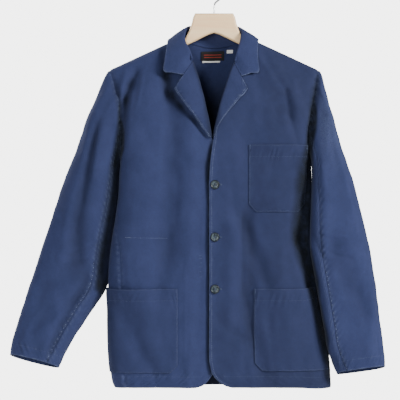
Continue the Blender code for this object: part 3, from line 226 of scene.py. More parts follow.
def rumple(place, seed, size, stretch, count=22):
    # soft uneven waves of about one size, mostly from -1 to 1
    random = np.random.default_rng(seed)
    waves = np.zeros(place.shape[:-1])
    for _ in range(count):
        way = unit(random.normal(size=3)) * (2 * math.pi / size) * random.uniform(0.6, 1.25)
        way[2] /= stretch
        waves += np.cos(place @ way + random.uniform(0.0, 2 * math.pi))
    return waves * math.sqrt(2.0 / count) / 1.6


def ripple(along, seed, size, count=9):
    # uneven waves along a seam
    random = np.random.default_rng(seed)
    waves = np.zeros_like(along)
    for _ in range(count):
        waves += np.cos(along * (2 * math.pi / size) * random.uniform(0.55, 1.5)
                        + random.uniform(0.0, 2 * math.pi))
    return waves * math.sqrt(2.0 / count) / 1.5


def foldRelief(backFoldShade, x, z):
    relief = np.zeros(np.broadcast(x, z).shape)
    for x0, z0, x1, z1, halfWidth, height in backFoldShade:
        run = np.array((x1 - x0, z1 - z0))
        length = np.hypot(*run)
        along = ((x - x0) * run[0] + (z - z0) * run[1]) / length
        across = ((x - x0) * run[1] - (z - z0) * run[0]) / length
        past = np.maximum(np.maximum(-along, along - length), 0.0)
        fade = max(1.6 * halfWidth, min(length, 0.012))
        relief += height * np.exp(-(across / halfWidth)**2 - (past / fade)**2)
    return relief


def handRelief(place, seed):
    return sum(height * rumple(place, seed + index, size, stretch)
               for index, (size, stretch, height) in enumerate(hand))


# the trunk's surface
def ridge(x):
    return body["apexZ"] - body["slope"] * np.sqrt(x * x + body["apexRound"]**2)


def backTop(x):
    neckX, neckZ = body["neckX"], body["backNeckZ"]
    return np.where(np.abs(x) < neckX, neckZ + (ridge(neckX) - neckZ) * (x / neckX)**2, ridge(x))


def halfWidth(side, z):
    return np.where(side < 0, column(body["rows"], 1, z), column(body["rows"], 2, z))


def bodyPoint(turn, z, face):
    # turn is -1 at the right side and +1 at the left, and past either it goes round the side
    turn, z = np.broadcast_arrays(np.asarray(turn, float), np.asarray(z, float))
    share = np.sin(turn * math.pi / 2)
    x = share * halfWidth(turn, z)
    facing = np.where(np.abs(turn) <= 1.0, face, -face)
    isFront = facing < 0
    depth = np.where(isFront, column(body["rows"], 3, z), column(body["rows"], 4, z))
    frontPower = np.where(turn < 0, *body["frontPower"])
    power = np.where(isFront, frontPower, body["backPower"])
    bulge = np.maximum(1.0 - np.abs(share)**power, 0.0)**(1.0 / power)
    drop = np.maximum(ridge(x) - z, 0.0)
    radius = body["ridgeRadius"]
    rounding = radius * np.sqrt(1.0 - (1.0 - np.minimum(drop / radius, 1.0))**2)
    fall = np.where(isFront, body["frontFall"], body["backFall"])
    fullness = np.sin(np.minimum(drop / fall, 1.0) * math.pi / 2)
    out = rounding + (depth * bulge - radius) * fullness
    smooth = np.stack((x, facing * out, z), axis=-1)
    frontRelief = foldRelief(creases["front"] + creases["frontFine"], x, z)
    backRelief = foldRelief(creases["back"] + creases["backFine"], x, z)
    relief = (np.where(isFront, frontRelief, backRelief) + handRelief(smooth, 11)) * bulge
    relief += np.where(isFront, foldRelief(creases["frontDeep"], x, z), 0.0)
    out = out + relief * np.minimum(drop / (3 * radius), 1.0)
    out = np.where(isFront, np.maximum(out, 0.0), out)  # a front ends at the side seam
    return np.stack((x, facing * out, z), axis=-1)


def bodyNormal(turn, z, face):
    step = 0.0015
    byTurn = bodyPoint(turn + step, z, face) - bodyPoint(turn - step, z, face)
    byHeight = bodyPoint(turn, z + step / 4, face) - bodyPoint(turn, z - step / 4, face)
    return unit(np.cross(byTurn, byHeight) * -face)


def turnAt(x, z):
    return np.arcsin(np.clip(x / halfWidth(x, z), -1.0, 1.0)) * 2 / math.pi


def underFront(points):
    # the right front lies behind the left one where they cross
    startX, endX, startZ, endZ = body["overlapEase"]
    across = ease((points[..., 0] - startX) / (endX - startX))
    below = ease((points[..., 2] - startZ) / (endZ - startZ))
    points[..., 1] += body["overlapStep"] * across * below
    return points


def panelShares():
    # rows from the hem to the shoulder, with one on the underarm, and how many lie below that
    height = ridge(0.15) - body["hemZ"]
    under = body["underarmShare"]
    lower = cellShares(under * height, cloth["cell"], startCell=cloth["edgeCell"]) * under
    top = 1.0 - body["topDrop"] / height
    upper = under + cellShares((top - under) * height, cloth["cell"]) * (top - under)
    left = np.arange(body["topRows"] - 1, -1, -1) / body["topRows"]
    over = 1.0 - body["topDrop"] / height * left**2
    return np.concatenate((lower, upper[1:], over)), len(lower) - 1


shares, underRow = panelShares()


def hemLine(x, face):
    # the hem hangs a little higher at its sides and in front, and unevenly
    middle = np.where(np.asarray(face) < 0, body["frontRise"], 0.0)
    toSide = ease((np.abs(x) - body["hemRiseFrom"]) / body["hemRiseReach"])
    rise = middle + (body["hemRise"] - middle) * toSide
    return body["hemZ"] + rise + body["hemWave"] * (1.0 + np.sin(x * 31.0 + 0.7) * np.cos(x * 13.0))


def heightOnEdge(step, edgeX, top, face):
    z = body["hemZ"] + (top(edgeX(body["underarmZ"])) - body["hemZ"]) * step
    for _ in range(30):
        low = hemLine(edgeX(z), face)
        z = 0.5 * z + 0.5 * (low + (top(edgeX(z)) - low) * step)
    return z


def sideTurn(side, face, z):
    index = (1 if side < 0 else 2) if face < 0 else (3 if side < 0 else 4)
    armhole = turnAt(side * column(body["armhole"], index, z), z) * side
    seam = np.ones_like(z)
    if side < 0:
        seam = np.arcsin(np.clip(column(body["sideSeam"], 1, z), 0, 1)) * 2 / math.pi
    if face > 0:
        seam = 2.0 - seam
    return np.where(z > body["underarmZ"] + 1e-6, armhole, seam)


def edgeXOf(side, face):
    return lambda z: halfWidth(side, z) * np.sin(sideTurn(side, face, z) * math.pi / 2)


def shoulderNormal(x):
    slope = body["slope"] * x / np.sqrt(x * x + body["apexRound"]**2)
    return unit(np.stack((slope, np.zeros_like(x), np.ones_like(x)), axis=-1))


def settleHeights(turn, z, steps, top, face):
    # the heights of a grid's points between the hem and the shoulder, at their own x
    for _ in range(12):
        x = halfWidth(turn, z) * np.sin(turn * math.pi / 2)
        low = hemLine(x, face)
        z = low + (top(x) - low) * steps
    return z


def frontGrid(side):
    rows = body["rightEdge"] if side < 0 else body["leftEdge"]
    steps = shares[:, None]
    across = cellShares(0.245, cloth["cell"], cloth["edgeCell"], cloth["edgeCell"])[None, :]
    innerZ = heightOnEdge(steps, lambda z: straightColumn(rows, 1, z), ridge, -1)
    innerZ[-1] = ridge(body["neckX"])
    outerZ = heightOnEdge(steps, edgeXOf(side, -1), ridge, -1)
    inner = turnAt(straightColumn(rows, 1, innerZ), innerZ)
    outer = side * sideTurn(side, -1, outerZ)
    turn = inner + (outer - inner) * across
    z = settleHeights(turn, innerZ + (outerZ - innerZ) * across, steps, ridge, -1)
    points, normals = bodyPoint(turn, z, -1), bodyNormal(turn, z, -1)
    if side < 0:
        points = underFront(points)
    normals[-1] = shoulderNormal(points[-1, :, 0])
    return points, normals


def backGrid():
    steps = shares[:, None]
    half = cellShares(0.27, cloth["cell"] * 1.1, endCell=cloth["edgeCell"])
    across = np.concatenate((-half[::-1], half[1:]))[None, :]
    rightZ = heightOnEdge(steps, edgeXOf(-1, 1), backTop, -1)
    leftZ = heightOnEdge(steps, edgeXOf(1, 1), backTop, 1)
    turn = across * np.where(across < 0, sideTurn(-1, 1, rightZ), sideTurn(1, 1, leftZ))
    z = settleHeights(turn, np.where(across < 0, rightZ, leftZ), steps, backTop,
                      np.where(np.abs(turn) > 1.0, -1, 1))
    points, normals = bodyPoint(turn, z, 1), bodyNormal(turn, z, 1)
    onShoulder = np.abs(points[-1, :, 0]) >= body["neckX"] - 0.002
    normals[-1][onShoulder] = shoulderNormal(points[-1, :, 0])[onShoulder]
    return points, normals


# shells: a grid of points with the way out at each, its seams and its wear
def arc(points, axis):
    step = np.linalg.norm(np.diff(points, axis=axis), axis=-1)
    return np.insert(np.cumsum(step, axis=axis), 0, 0.0, axis=axis)


def newCloth(points, normals, thick=None):
    marks = {label: np.zeros(points.shape[:2]) for label in ("wearAndHighlight", "paintedShade", "inside")}
    return {"points": points.copy(), "normals": normals, "thick": thick or cloth["thick"],
            "across": arc(points, 1), "up": arc(points, 0), "lines": [], "wornLines": [], **marks}


def edgeWays(piece, edge):
    # distance from an edge and the way along it, for each point of a grid
    across, up = piece["across"], piece["up"]
    return {"firstColumn": (across, up), "lastColumn": (across[:, -1:] - across, up),
            "firstRow": (up, across), "lastRow": (up[-1:] - up, across)}[edge]


def sewEdge(piece, edge, seed, inset, wearAndHighlight, groove=0.0003, swell=0.0003, pucker=0.0003,
            size=0.011, reach=0.006, wearWidth=0.0018):
    # a turned and stitched edge: full between the edge and the stitches, drawn in along them
    distance, along = edgeWays(piece, edge)
    waves = ripple(along + 0.25 * distance, seed, size)
    relief = -groove * np.exp(-((distance - inset) / 0.0013)**2)
    relief += swell * np.sin(math.pi * np.clip(distance / inset, 0.0, 1.0))
    relief += pucker * waves * np.exp(-(np.maximum(distance - inset, 0.0) / reach)**2) \
        * ease(distance / (0.5 * inset))
    piece["points"] += piece["normals"] * relief[..., None]
    worn = np.exp(-(distance / wearWidth)**2) * (0.75 + 0.35 * ripple(along, seed + 1, 0.035))
    worn += 0.25 * np.clip(waves, 0, 1) * np.exp(-((distance - inset) / 0.004)**2)
    piece["wearAndHighlight"] = np.maximum(piece["wearAndHighlight"], wearAndHighlight * np.clip(worn, 0.0, 1.0))


def joinEdge(piece, edge, seed, dip=0.0008, reach=0.004, pucker=0.00035, size=0.013, wearAndHighlight=0.15):
    # a seam where two pieces meet: the cloth rolls down into it, drawn in unevenly
    distance, along = edgeWays(piece, edge)
    waves = ripple(along - 0.3 * distance, seed, size)
    relief = -dip * np.exp(-(distance / reach)**2)
    relief += pucker * waves * np.exp(-(distance / (3.0 * reach))**2) * ease(distance / reach)
    piece["points"] += piece["normals"] * relief[..., None]
    worn = np.exp(-((distance - reach) / reach)**2) * np.clip(0.5 + waves, 0.0, 1.0)
    piece["wearAndHighlight"] = np.maximum(piece["wearAndHighlight"], wearAndHighlight * worn)


def stitchLine(piece, edge, inset, start=0.0, end=0.0, kind="lines"):
    # a row of stitches at one distance from an edge, stopping short of its ends where told
    distance, along = edgeWays(piece, edge)
    points = piece["points"] + piece["normals"] * piece["thick"] / 2
    normals = piece["normals"]
    if edge in ("firstRow", "lastRow"):
        distance, along = distance.T, along.T
        points, normals = points.transpose(1, 0, 2), normals.transpose(1, 0, 2)
    if edge in ("lastColumn", "lastRow"):
        distance, along = distance[:, ::-1], along[:, ::-1]
        points, normals = points[:, ::-1], normals[:, ::-1]
    fields = np.concatenate((points, normals, along[..., None]), axis=2)
    line = np.array([[np.interp(inset, distance[row], field) for field in fields[row].T]
                     for row in range(len(fields))])
    kept = line[(line[:, 6] >= start) & (line[:, 6] <= line[:, 6].max() - end)]
    piece[kind].append((kept[:, 0:3], unit(kept[:, 3:6]), None))


def shellMesh(name, piece):
    # a closed wall with rounded rims, its own unwrapped map, its wear and painted highlight, and
    # its painted shade
    points, normals = piece["points"], piece["normals"]
    rows, columns = points.shape[:2]
    count = rows * columns
    half = piece["thick"] / 2
    index = np.arange(count).reshape(rows, columns)
    rim = np.concatenate((index[0], index[1:, -1], index[-1, -2::-1], index[-2:0:-1, 0]))
    inward = np.concatenate((index[1], index[1:, -2], index[-2, -2::-1], index[-2:0:-1, 1]))
    flat, out = points.reshape(-1, 3), normals.reshape(-1, 3)
    middle = flat[rim] + unit(flat[rim] - flat[inward]) * cloth["rimRound"]
    vertices = np.concatenate((flat + out * half, flat - out * half, middle))
    a = index[:-1, :-1].ravel()
    quads = np.stack((a, a + 1, a + columns + 1, a + columns), axis=1)
    there = np.roll(np.arange(len(rim)), -1)
    mids = 2 * count + np.arange(len(rim))
    upper = np.stack((rim[there], rim, mids, mids[there]), axis=1)
    lower = np.stack((mids[there], mids, count + rim, count + rim[there]), axis=1)
    faces = np.concatenate((quads, (quads + count)[:, ::-1], upper, lower))
    turned = np.cross(flat[quads[:, 1]] - flat[quads[:, 0]], flat[quads[:, 3]] - flat[quads[:, 0]])
    if (turned * out[quads[:, 0]]).sum() < 0:
        faces = faces[:, ::-1]
    mesh = bpy.data.meshes.new(name)
    mesh.from_pydata(vertices.tolist(), [], faces.tolist())
    mesh.shade_smooth()
    flatMap = np.stack((piece["across"].ravel(), piece["up"].ravel()), axis=1)
    flatMap = np.concatenate((flatMap, flatMap, flatMap[rim]))
    corners = np.zeros(len(mesh.loops), dtype=np.int32)
    mesh.loops.foreach_get("vertex_index", corners)
    layer = mesh.uv_layers.new(name="clothMap")
    layer.data.foreach_set("uv", flatMap[corners].astype(np.float32).ravel())
    # the inner wall also takes the painted shade of the inside
    wearAndHighlight, paintedShade = piece["wearAndHighlight"].ravel(), np.clip(piece["paintedShade"].ravel(), 0.0, 1.0)
    within = np.clip(np.maximum(paintedShade, piece["inside"].ravel()), 0.0, 1.0)
    for label, outer, inner in (("wearAndHighlight", wearAndHighlight, wearAndHighlight * 0.6), ("paintedShade", paintedShade, within)):
        values = np.concatenate((outer, inner, outer[rim])).astype(np.float32)
        mesh.attributes.new(label, "FLOAT", "POINT").data.foreach_set("value", values)
    return mesh


def place(name, data, material=None):
    thing = bpy.data.objects.new(name, data)
    bpy.context.scene.collection.objects.link(thing)
    if material:
        data.materials.clear()
        data.materials.append(material)
    return thing


def declare(thing, node=None):
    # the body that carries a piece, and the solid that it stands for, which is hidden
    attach(thing, "root")
    if node:
        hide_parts(node)


def meshOf(thing):
    # a copy of the mesh that an object has after its modifiers
    graph = bpy.context.evaluated_depsgraph_get()
    return bpy.data.meshes.new_from_object(thing.evaluated_get(graph))


# parts of the node trees
def join(tree, source, target):
    if isinstance(source, bpy.types.NodeSocket):
        tree.links.new(source, target)
    else:
        target.default_value = source


def addNode(tree, kind, inputs=None, **settings):
    node = tree.nodes.new(kind)
    for label, value in settings.items():
        setattr(node, label, value)
    for label, value in (inputs or {}).items():
        join(tree, value, node.inputs[label])
    return node


def newGroup(name, numbers, results):
    # a shader group with a place, its numbers and its results
    tree = bpy.data.node_groups.new(name, "ShaderNodeTree")
    tree.interface.new_socket("Place", in_out="INPUT", socket_type="NodeSocketVector")
    for label, value in numbers.items():
        socket = tree.interface.new_socket(label, in_out="INPUT", socket_type="NodeSocketFloat")
        socket.default_value = value
    for label in results:
        tree.interface.new_socket(label, in_out="OUTPUT", socket_type="NodeSocketFloat")
    return tree, addNode(tree, "NodeGroupInput").outputs, addNode(tree, "NodeGroupOutput").inputs


def calc(tree, operation, first, second=0.0, third=0.0):
    numbers = {0: first, 1: second, 2: third}
    return addNode(tree, "ShaderNodeMath", numbers, operation=operation).outputs[0]


def stretched(tree, vector, scale, turn=(0.0, 0.0, 0.0)):
    inputs = {"Vector": vector, "Scale": scale, "Rotation": turn}
    return addNode(tree, "ShaderNodeMapping", inputs).outputs[0]


def noise(tree, vector, scale, detail=2.0, roughness=0.5, distortion=0.0):
    inputs = {"Vector": vector, "Scale": scale, "Detail": detail, "Roughness": roughness,
              "Distortion": distortion}
    return addNode(tree, "ShaderNodeTexNoise", inputs).outputs[0]


def blendColours(tree, share, first, second):
    node = addNode(tree, "ShaderNodeMix", {"Factor": share}, data_type="RGBA")
    for value, socket in zip((first, second), [s for s in node.inputs if s.type == "RGBA"]):
        join(tree, value, socket)
    return next(s for s in node.outputs if s.type == "RGBA")


def spread(tree, value, low, high, newLow=0.0, newHigh=1.0):
    inputs = {"Value": value, "From Min": low, "From Max": high, "To Min": newLow,
              "To Max": newHigh}
    return addNode(tree, "ShaderNodeMapRange", inputs).outputs[0]


def useGroup(tree, group, values):
    return addNode(tree, "ShaderNodeGroup", values, node_tree=group).outputs


def newFinish(name, roughness, metallic=0.0, **constants):
    material = bpy.data.materials.new(name)
    material.use_nodes = True
    sockets = material.node_tree.nodes["Principled BSDF"].inputs
    for label, value in {"Roughness": roughness, "Metallic": metallic, **constants}.items():
        sockets[label.replace("_", " ")].default_value = value
    return material, material.node_tree, sockets


def bump(tree, height, distance, strength, target):
    inputs = {"Height": height, "Distance": distance, "Strength": strength}
    join(tree, addNode(tree, "ShaderNodeBump", inputs).outputs[0], target)


def objectPlace(tree):
    return addNode(tree, "ShaderNodeTexCoord").outputs["Object"]


def clothPlace(tree):
    return addNode(tree, "ShaderNodeUVMap", uv_map="clothMap").outputs[0]


def marked(tree, label):
    # a value that is marked on a piece's points
    return addNode(tree, "ShaderNodeAttribute", attribute_name=label).outputs["Fac"]


def weaveGroup():
    # slanted twill ribs with thick and thin yarns
    tree, given, made = newGroup("twillWeave", {"Rib": 0.0011, "Slub": 0.5}, ("Height", "Slubs"))
    flat = addNode(tree, "ShaderNodeSeparateXYZ", {0: given["Place"]}).outputs
    slubs = noise(tree, stretched(tree, given["Place"], (900.0, 130.0, 1.0)), 1.0)
    picks = noise(tree, stretched(tree, given["Place"], (150.0, 1000.0, 1.0)), 1.0)
    both = calc(tree, "ADD", slubs, picks)
    slant = calc(tree, "ADD", flat[0], calc(tree, "MULTIPLY", flat[1], 0.62))
    turns = calc(tree, "DIVIDE", calc(tree, "MULTIPLY", slant, 2 * math.pi), given["Rib"])
    turns = calc(tree, "MULTIPLY_ADD", both, 1.6, turns)
    rib = calc(tree, "MULTIPLY_ADD", calc(tree, "SINE", turns), 0.5, 0.5)
    join(tree, calc(tree, "MULTIPLY_ADD", both, given["Slub"], rib), made["Height"])
    join(tree, calc(tree, "MULTIPLY", both, 0.5), made["Slubs"])
    return tree


def washGroup():
    # cloudy fading from washing, and a fine heather over it
    tree, given, made = newGroup("washedTone", {"Clouds": 24.0, "Heather": 240.0},
                                 ("Cloud", "Speck"))
    join(tree, noise(tree, given["Place"], given["Clouds"], 4.0, 0.6), made["Cloud"])
    join(tree, noise(tree, given["Place"], given["Heather"], 3.0, 0.65), made["Speck"])
    return tree


def maskGroup(name, mark, fineness, detail, limits):
    # a mask from a value marked on the piece, broken up by the yarns
    tree, given, made = newGroup(name, {"Grain": fineness}, ("Mask",))
    broken = spread(tree, noise(tree, given["Place"], given["Grain"], detail, 0.6), *limits)
    join(tree, calc(tree, "MULTIPLY", marked(tree, mark), broken), made["Mask"])
    return tree


def grainGroup():
    # long wood grain, for a board whose grain runs along X
    tree, given, made = newGroup("woodGrain", {"Fineness": 1.0}, ("Figure", "Pores"))
    for label, scale, look in (("Figure", (7.0, 60.0, 95.0), (4.0, 0.55, 0.6)),
                               ("Pores", (40.0, 700.0, 900.0), (2.0, 0.6))):
        long = stretched(tree, given["Place"], scale)
        join(tree, noise(tree, long, given["Fineness"], *look), made[label])
    return tree


weave, wash, grain = weaveGroup(), washGroup(), grainGroup()
# an edge is rubbed pale and the upper left sleeve gets a painted highlight; folds, crevices, gaps,
# pockets and insides get painted shade
worn = maskGroup("rubbedEdgeAndHighlight", "wearAndHighlight", 420.0, 2.0, (0.32, 0.62))
paintedShadeTone = maskGroup("paintedShadeMask", "paintedShade", 60.0, 3.0, (0.2, 0.6, 0.7, 1.0))

# colours and textures of each finish
finishes = {
    # the navy's washed tones, the colour of its painted shade, and the pale of rubbed edges and of
    # the painted highlight
    "navy": {"deep": (0.015, 0.0222, 0.07, 1.0), "pale": (0.031, 0.0415, 0.116, 1.0),
             "paintedShadeTone": (0.0009, 0.0028, 0.0064, 1.0), "paleWearAndHighlight": (0.16, 0.2, 0.3, 1.0),
             "roughness": 0.88, "rib": 0.0012, "weaveHeight": 0.00022, "weaveStrength": 0.55},
    "thread": {"deep": (0.024, 0.038, 0.098, 1.0), "pale": (0.07, 0.095, 0.17, 1.0)},
    "wornThread": {"deep": (0.075, 0.1, 0.175, 1.0), "pale": (0.21, 0.25, 0.35, 1.0)},
    # horn: its clouded colours, and a dark rim that is its own edge colour and painted shade
    "horn": {"dark": (0.004, 0.01, 0.014, 1.0), "light": (0.085, 0.12, 0.14, 1.0),
             "rim": (0.003, 0.006, 0.009, 1.0)},
    # the label's plain bars: low and high corners from its lower right one
    "label": {"ground": (0.004, 0.004, 0.005, 1.0), "yarn": (0.012, 0.011, 0.012, 1.0),
              "bar": (0.34, 0.035, 0.022, 1.0),
              "bars": (((0.006, 0.012), (0.045, 0.0134)), ((0.006, 0.0066), (0.045, 0.008)))},
    "tab": {"ground": (0.62, 0.62, 0.6, 1.0), "yarn": (0.85, 0.85, 0.83, 1.0)},
    "birch": {"light": (1.0, 0.73, 0.41, 1.0), "dark": (0.97, 0.61, 0.31, 1.0)},
    "wire": {"clean": (0.78, 0.78, 0.79, 1.0), "dull": (0.56, 0.56, 0.57, 1.0)}}


def navyFinish():
    look = finishes["navy"]
    material, tree, sockets = newFinish("navyCotton", look["roughness"], Sheen_Weight=0.05,
                                        Sheen_Roughness=0.5, Sheen_Tint=(0.55, 0.65, 0.9, 1.0),
                                        Specular_IOR_Level=0.25)
    here, flat = objectPlace(tree), clothPlace(tree)
    yarns = useGroup(tree, weave, {"Place": flat, "Rib": look["rib"], "Slub": 0.55})
    tone = useGroup(tree, wash, {"Place": here})
    share = calc(tree, "MULTIPLY_ADD", spread(tree, tone["Cloud"], 0.3, 0.7), 0.36,
                 calc(tree, "MULTIPLY", spread(tree, tone["Speck"], 0.3, 0.7), 0.35))
    share = calc(tree, "MULTIPLY_ADD", spread(tree, yarns["Slubs"], 0.3, 0.7), 0.2, share)
    colour = blendColours(tree, share, look["deep"], look["pale"])
    # painted shade darkens the cloth; rubbed edges and the painted highlight make it paler
    for group, label in ((paintedShadeTone, "paintedShadeTone"), (worn, "paleWearAndHighlight")):
        mask = useGroup(tree, group, {"Place": here})["Mask"]
        colour = blendColours(tree, mask, colour, look[label])
    join(tree, colour, sockets["Base Color"])
    join(tree, spread(tree, tone["Speck"], 0.3, 0.7, 0.82, 0.94), sockets["Roughness"])
    bump(tree, yarns["Height"], look["weaveHeight"], look["weaveStrength"], sockets["Normal"])
    return material


def threadFinish(name, look):
    material, tree, sockets = newFinish(name, 0.6, Specular_IOR_Level=0.4)
    tone = noise(tree, objectPlace(tree), 300.0)
    join(tree, blendColours(tree, spread(tree, tone, 0.35, 0.65), look["deep"], look["pale"]),
         sockets["Base Color"])
    join(tree, spread(tree, tone, 0.3, 0.7, 0.5, 0.7), sockets["Roughness"])
    return material


def wovenBar(tree, flat, low, high):
    # 1 inside a box of the flat cloth, 0 outside
    parts = addNode(tree, "ShaderNodeSeparateXYZ", {0: flat}).outputs
    inside = 1.0
    for axis in (0, 1):
        for test, limit in (("GREATER_THAN", low[axis]), ("LESS_THAN", high[axis])):
            inside = calc(tree, "MULTIPLY", calc(tree, test, parts[axis], limit), inside)
    return inside


def wovenFinish(name, look, rib):
    material, tree, sockets = newFinish(name, 0.7, Specular_IOR_Level=0.2)
    flat = clothPlace(tree)
    yarns = useGroup(tree, weave, {"Place": flat, "Rib": rib, "Slub": 0.3})
    colour = blendColours(tree, yarns["Height"], look["ground"], look["yarn"])
    for low, high in look.get("bars", ()):
        colour = blendColours(tree, wovenBar(tree, flat, low, high), colour, look["bar"])
    join(tree, colour, sockets["Base Color"])
    join(tree, spread(tree, yarns["Slubs"], 0.3, 0.7, 0.55, 0.8), sockets["Roughness"])
    bump(tree, yarns["Height"], 0.00012, 0.5, sockets["Normal"])
    return material


def hornFinish():
    look = finishes["horn"]
    material, tree, sockets = newFinish("horn", 0.3, Coat_Weight=0.1, Coat_Roughness=0.15,
                                        Specular_IOR_Level=0.3)
    here = objectPlace(tree)
    slanted = stretched(tree, here, (150.0, 60.0, 90.0), (0.0, 0.5, 0.3))
    cloud = noise(tree, slanted, 1.0, 5.0, 0.6, 1.4)
    colour = blendColours(tree, spread(tree, cloud, 0.42, 0.72), look["dark"], look["light"])
    # the rim is darker: the horn's own edge colour with painted shade on it
    colour = blendColours(tree, marked(tree, "rim"), colour, look["rim"])
    join(tree, colour, sockets["Base Color"])
    join(tree, spread(tree, cloud, 0.3, 0.7, 0.24, 0.42), sockets["Roughness"])
    bump(tree, noise(tree, here, 900.0, 3.0), 0.00006, 0.3, sockets["Normal"])
    return material


def birchFinish():
    look = finishes["birch"]
    material, tree, sockets = newFinish("birchWood", 0.42, Coat_Weight=0.15, Coat_Roughness=0.3)
    here = objectPlace(tree)
    wood = useGroup(tree, grain, {"Place": here})
    figure = spread(tree, wood["Figure"], 0.35, 0.7)
    pores = spread(tree, wood["Pores"], 0.62, 0.75, 0.0, 0.35)
    colour = blendColours(tree, figure, look["light"], look["dark"])
    colour = blendColours(tree, pores, colour, look["dark"])
    join(tree, colour, sockets["Base Color"])
    join(tree, spread(tree, wood["Figure"], 0.3, 0.7, 0.36, 0.5), sockets["Roughness"])
    bump(tree, wood["Pores"], 0.00015, 0.35, sockets["Normal"])
    return material


def wireFinish():
    look = finishes["wire"]
    material, tree, sockets = newFinish("nickelWire", 0.25, 1.0)
    here = objectPlace(tree)
    dull = noise(tree, here, 120.0, 4.0, 0.6)
    join(tree, blendColours(tree, spread(tree, dull, 0.4, 0.7), look["clean"], look["dull"]),
         sockets["Base Color"])
    join(tree, spread(tree, dull, 0.3, 0.7, 0.16, 0.34), sockets["Roughness"])
    bump(tree, noise(tree, here, 800.0), 0.00005, 0.25, sockets["Normal"])
    return material


navy, horn = navyFinish(), hornFinish()
thread = threadFinish("navyThread", finishes["thread"])
wornThread = threadFinish("wornThread", finishes["wornThread"])
birch, wire = birchFinish(), wireFinish()
labelCloth = wovenFinish("labelSatin", finishes["label"], 0.0007)
tabCloth = wovenFinish("tabSatin", finishes["tab"], 0.0006)
print("finishes made")

# each stitch runs along "lay" and stands off the cloth along "outward"
stitch = {"Stitch Length": 0.0027, "Stitch Gap": 0.0008, "Thread Width": 0.00046,
          "Unevenness": 0.12, "Lean": 0.1}
wornStitch = {"Stitch Length": 0.0026, "Stitch Gap": 0.0014, "Thread Width": 0.00062}
seamStitch = {"Stitch Length": 0.003, "Stitch Gap": 0.0056, "Thread Width": 0.0008}
tackStitch = {"Stitch Length": 0.0022, "Stitch Gap": -0.0015, "Thread Width": 0.00055}
holeStitch = {"Stitch Length": 0.0022, "Stitch Gap": -0.0016, "Thread Width": 0.00055}
barStitch = {"Stitch Length": 0.0013, "Stitch Gap": -0.0007, "Thread Width": 0.00055}


def stitchTree():
    tree = bpy.data.node_groups.new("stitchRow", "GeometryNodeTree")
    sockets = [("Geometry", "Geometry", None), ("Seed", "Int", 5), ("Thread", "Material", None)]
    sockets[1:1] = [(label, "Float", value) for label, value in stitch.items()]
    for label, kind, value in sockets:
        socket = tree.interface.new_socket(label, in_out="INPUT", socket_type="NodeSocket" + kind)
        if value is not None:
            socket.default_value = value
    tree.interface.new_socket("Geometry", in_out="OUTPUT", socket_type="NodeSocketGeometry")
    given, made = addNode(tree, "NodeGroupInput").outputs, addNode(tree, "NodeGroupOutput").inputs
    length, width, lean, seed = (given[label] for label in ("Stitch Length", "Thread Width",
                                                            "Lean", "Seed"))

    def add(kind, inputs, **settings):
        return addNode(tree, kind, inputs, **settings).outputs

    def named(label):
        return add("GeometryNodeInputNamedAttribute", {"Name": label},
                   data_type="FLOAT_VECTOR")["Attribute"]

    def between(low, high, seed):
        node = addNode(tree, "FunctionNodeRandomValue", {"Seed": seed}, data_type="FLOAT")
        ends = [s for s in node.inputs if s.enabled and s.name in ("Min", "Max")]
        for value, socket in zip((low, high), ends):
            join(tree, value, socket)
        return next(s for s in node.outputs if s.enabled)

    curve = add("GeometryNodeMeshToCurve", {"Mesh": given["Geometry"]})[0]
    step = calc(tree, "ADD", length, given["Stitch Gap"])
    points = add("GeometryNodeCurveToPoints", {"Curve": curve, "Length": step}, mode="LENGTH")
    turn = add("FunctionNodeAxesToRotation",
               {"Primary Axis": named("lay"), "Secondary Axis": named("outward")},
               primary_axis="X", secondary_axis="Z")
    angle = between(calc(tree, "MULTIPLY", lean, -1.0), lean, seed)
    swing = add("FunctionNodeEulerToRotation", {0: add("ShaderNodeCombineXYZ", {"Z": angle})[0]})
    leaned = add("FunctionNodeRotateRotation", {0: turn[0], 1: swing[0]}, rotation_space="LOCAL")
    bead = add("GeometryNodeMeshUVSphere", {"Segments": 6, "Rings": 5, "Radius": 0.5})["Mesh"]
    size = add("ShaderNodeCombineXYZ",
               {"X": length, "Y": width, "Z": calc(tree, "MULTIPLY", width, 0.9)})
    shaped = add("GeometryNodeTransform", {"Geometry": bead, "Scale": size[0]})
    uneven = [calc(tree, way, 1.0, given["Unevenness"]) for way in ("SUBTRACT", "ADD")]
    rows = add("GeometryNodeInstanceOnPoints",
               {"Points": points["Points"], "Instance": shaped[0], "Rotation": leaned[0],
                "Scale": between(*uneven, calc(tree, "ADD", seed, 1.0))})
    whole = add("GeometryNodeRealizeInstances", {0: rows[0]})
    smooth = add("GeometryNodeSetShadeSmooth", {"Geometry": whole[0]})
    coloured = add("GeometryNodeSetMaterial", {"Geometry": smooth[0], "Material": given["Thread"]})
    join(tree, coloured[0], made[0])
    return tree


stitchRow = stitchTree()


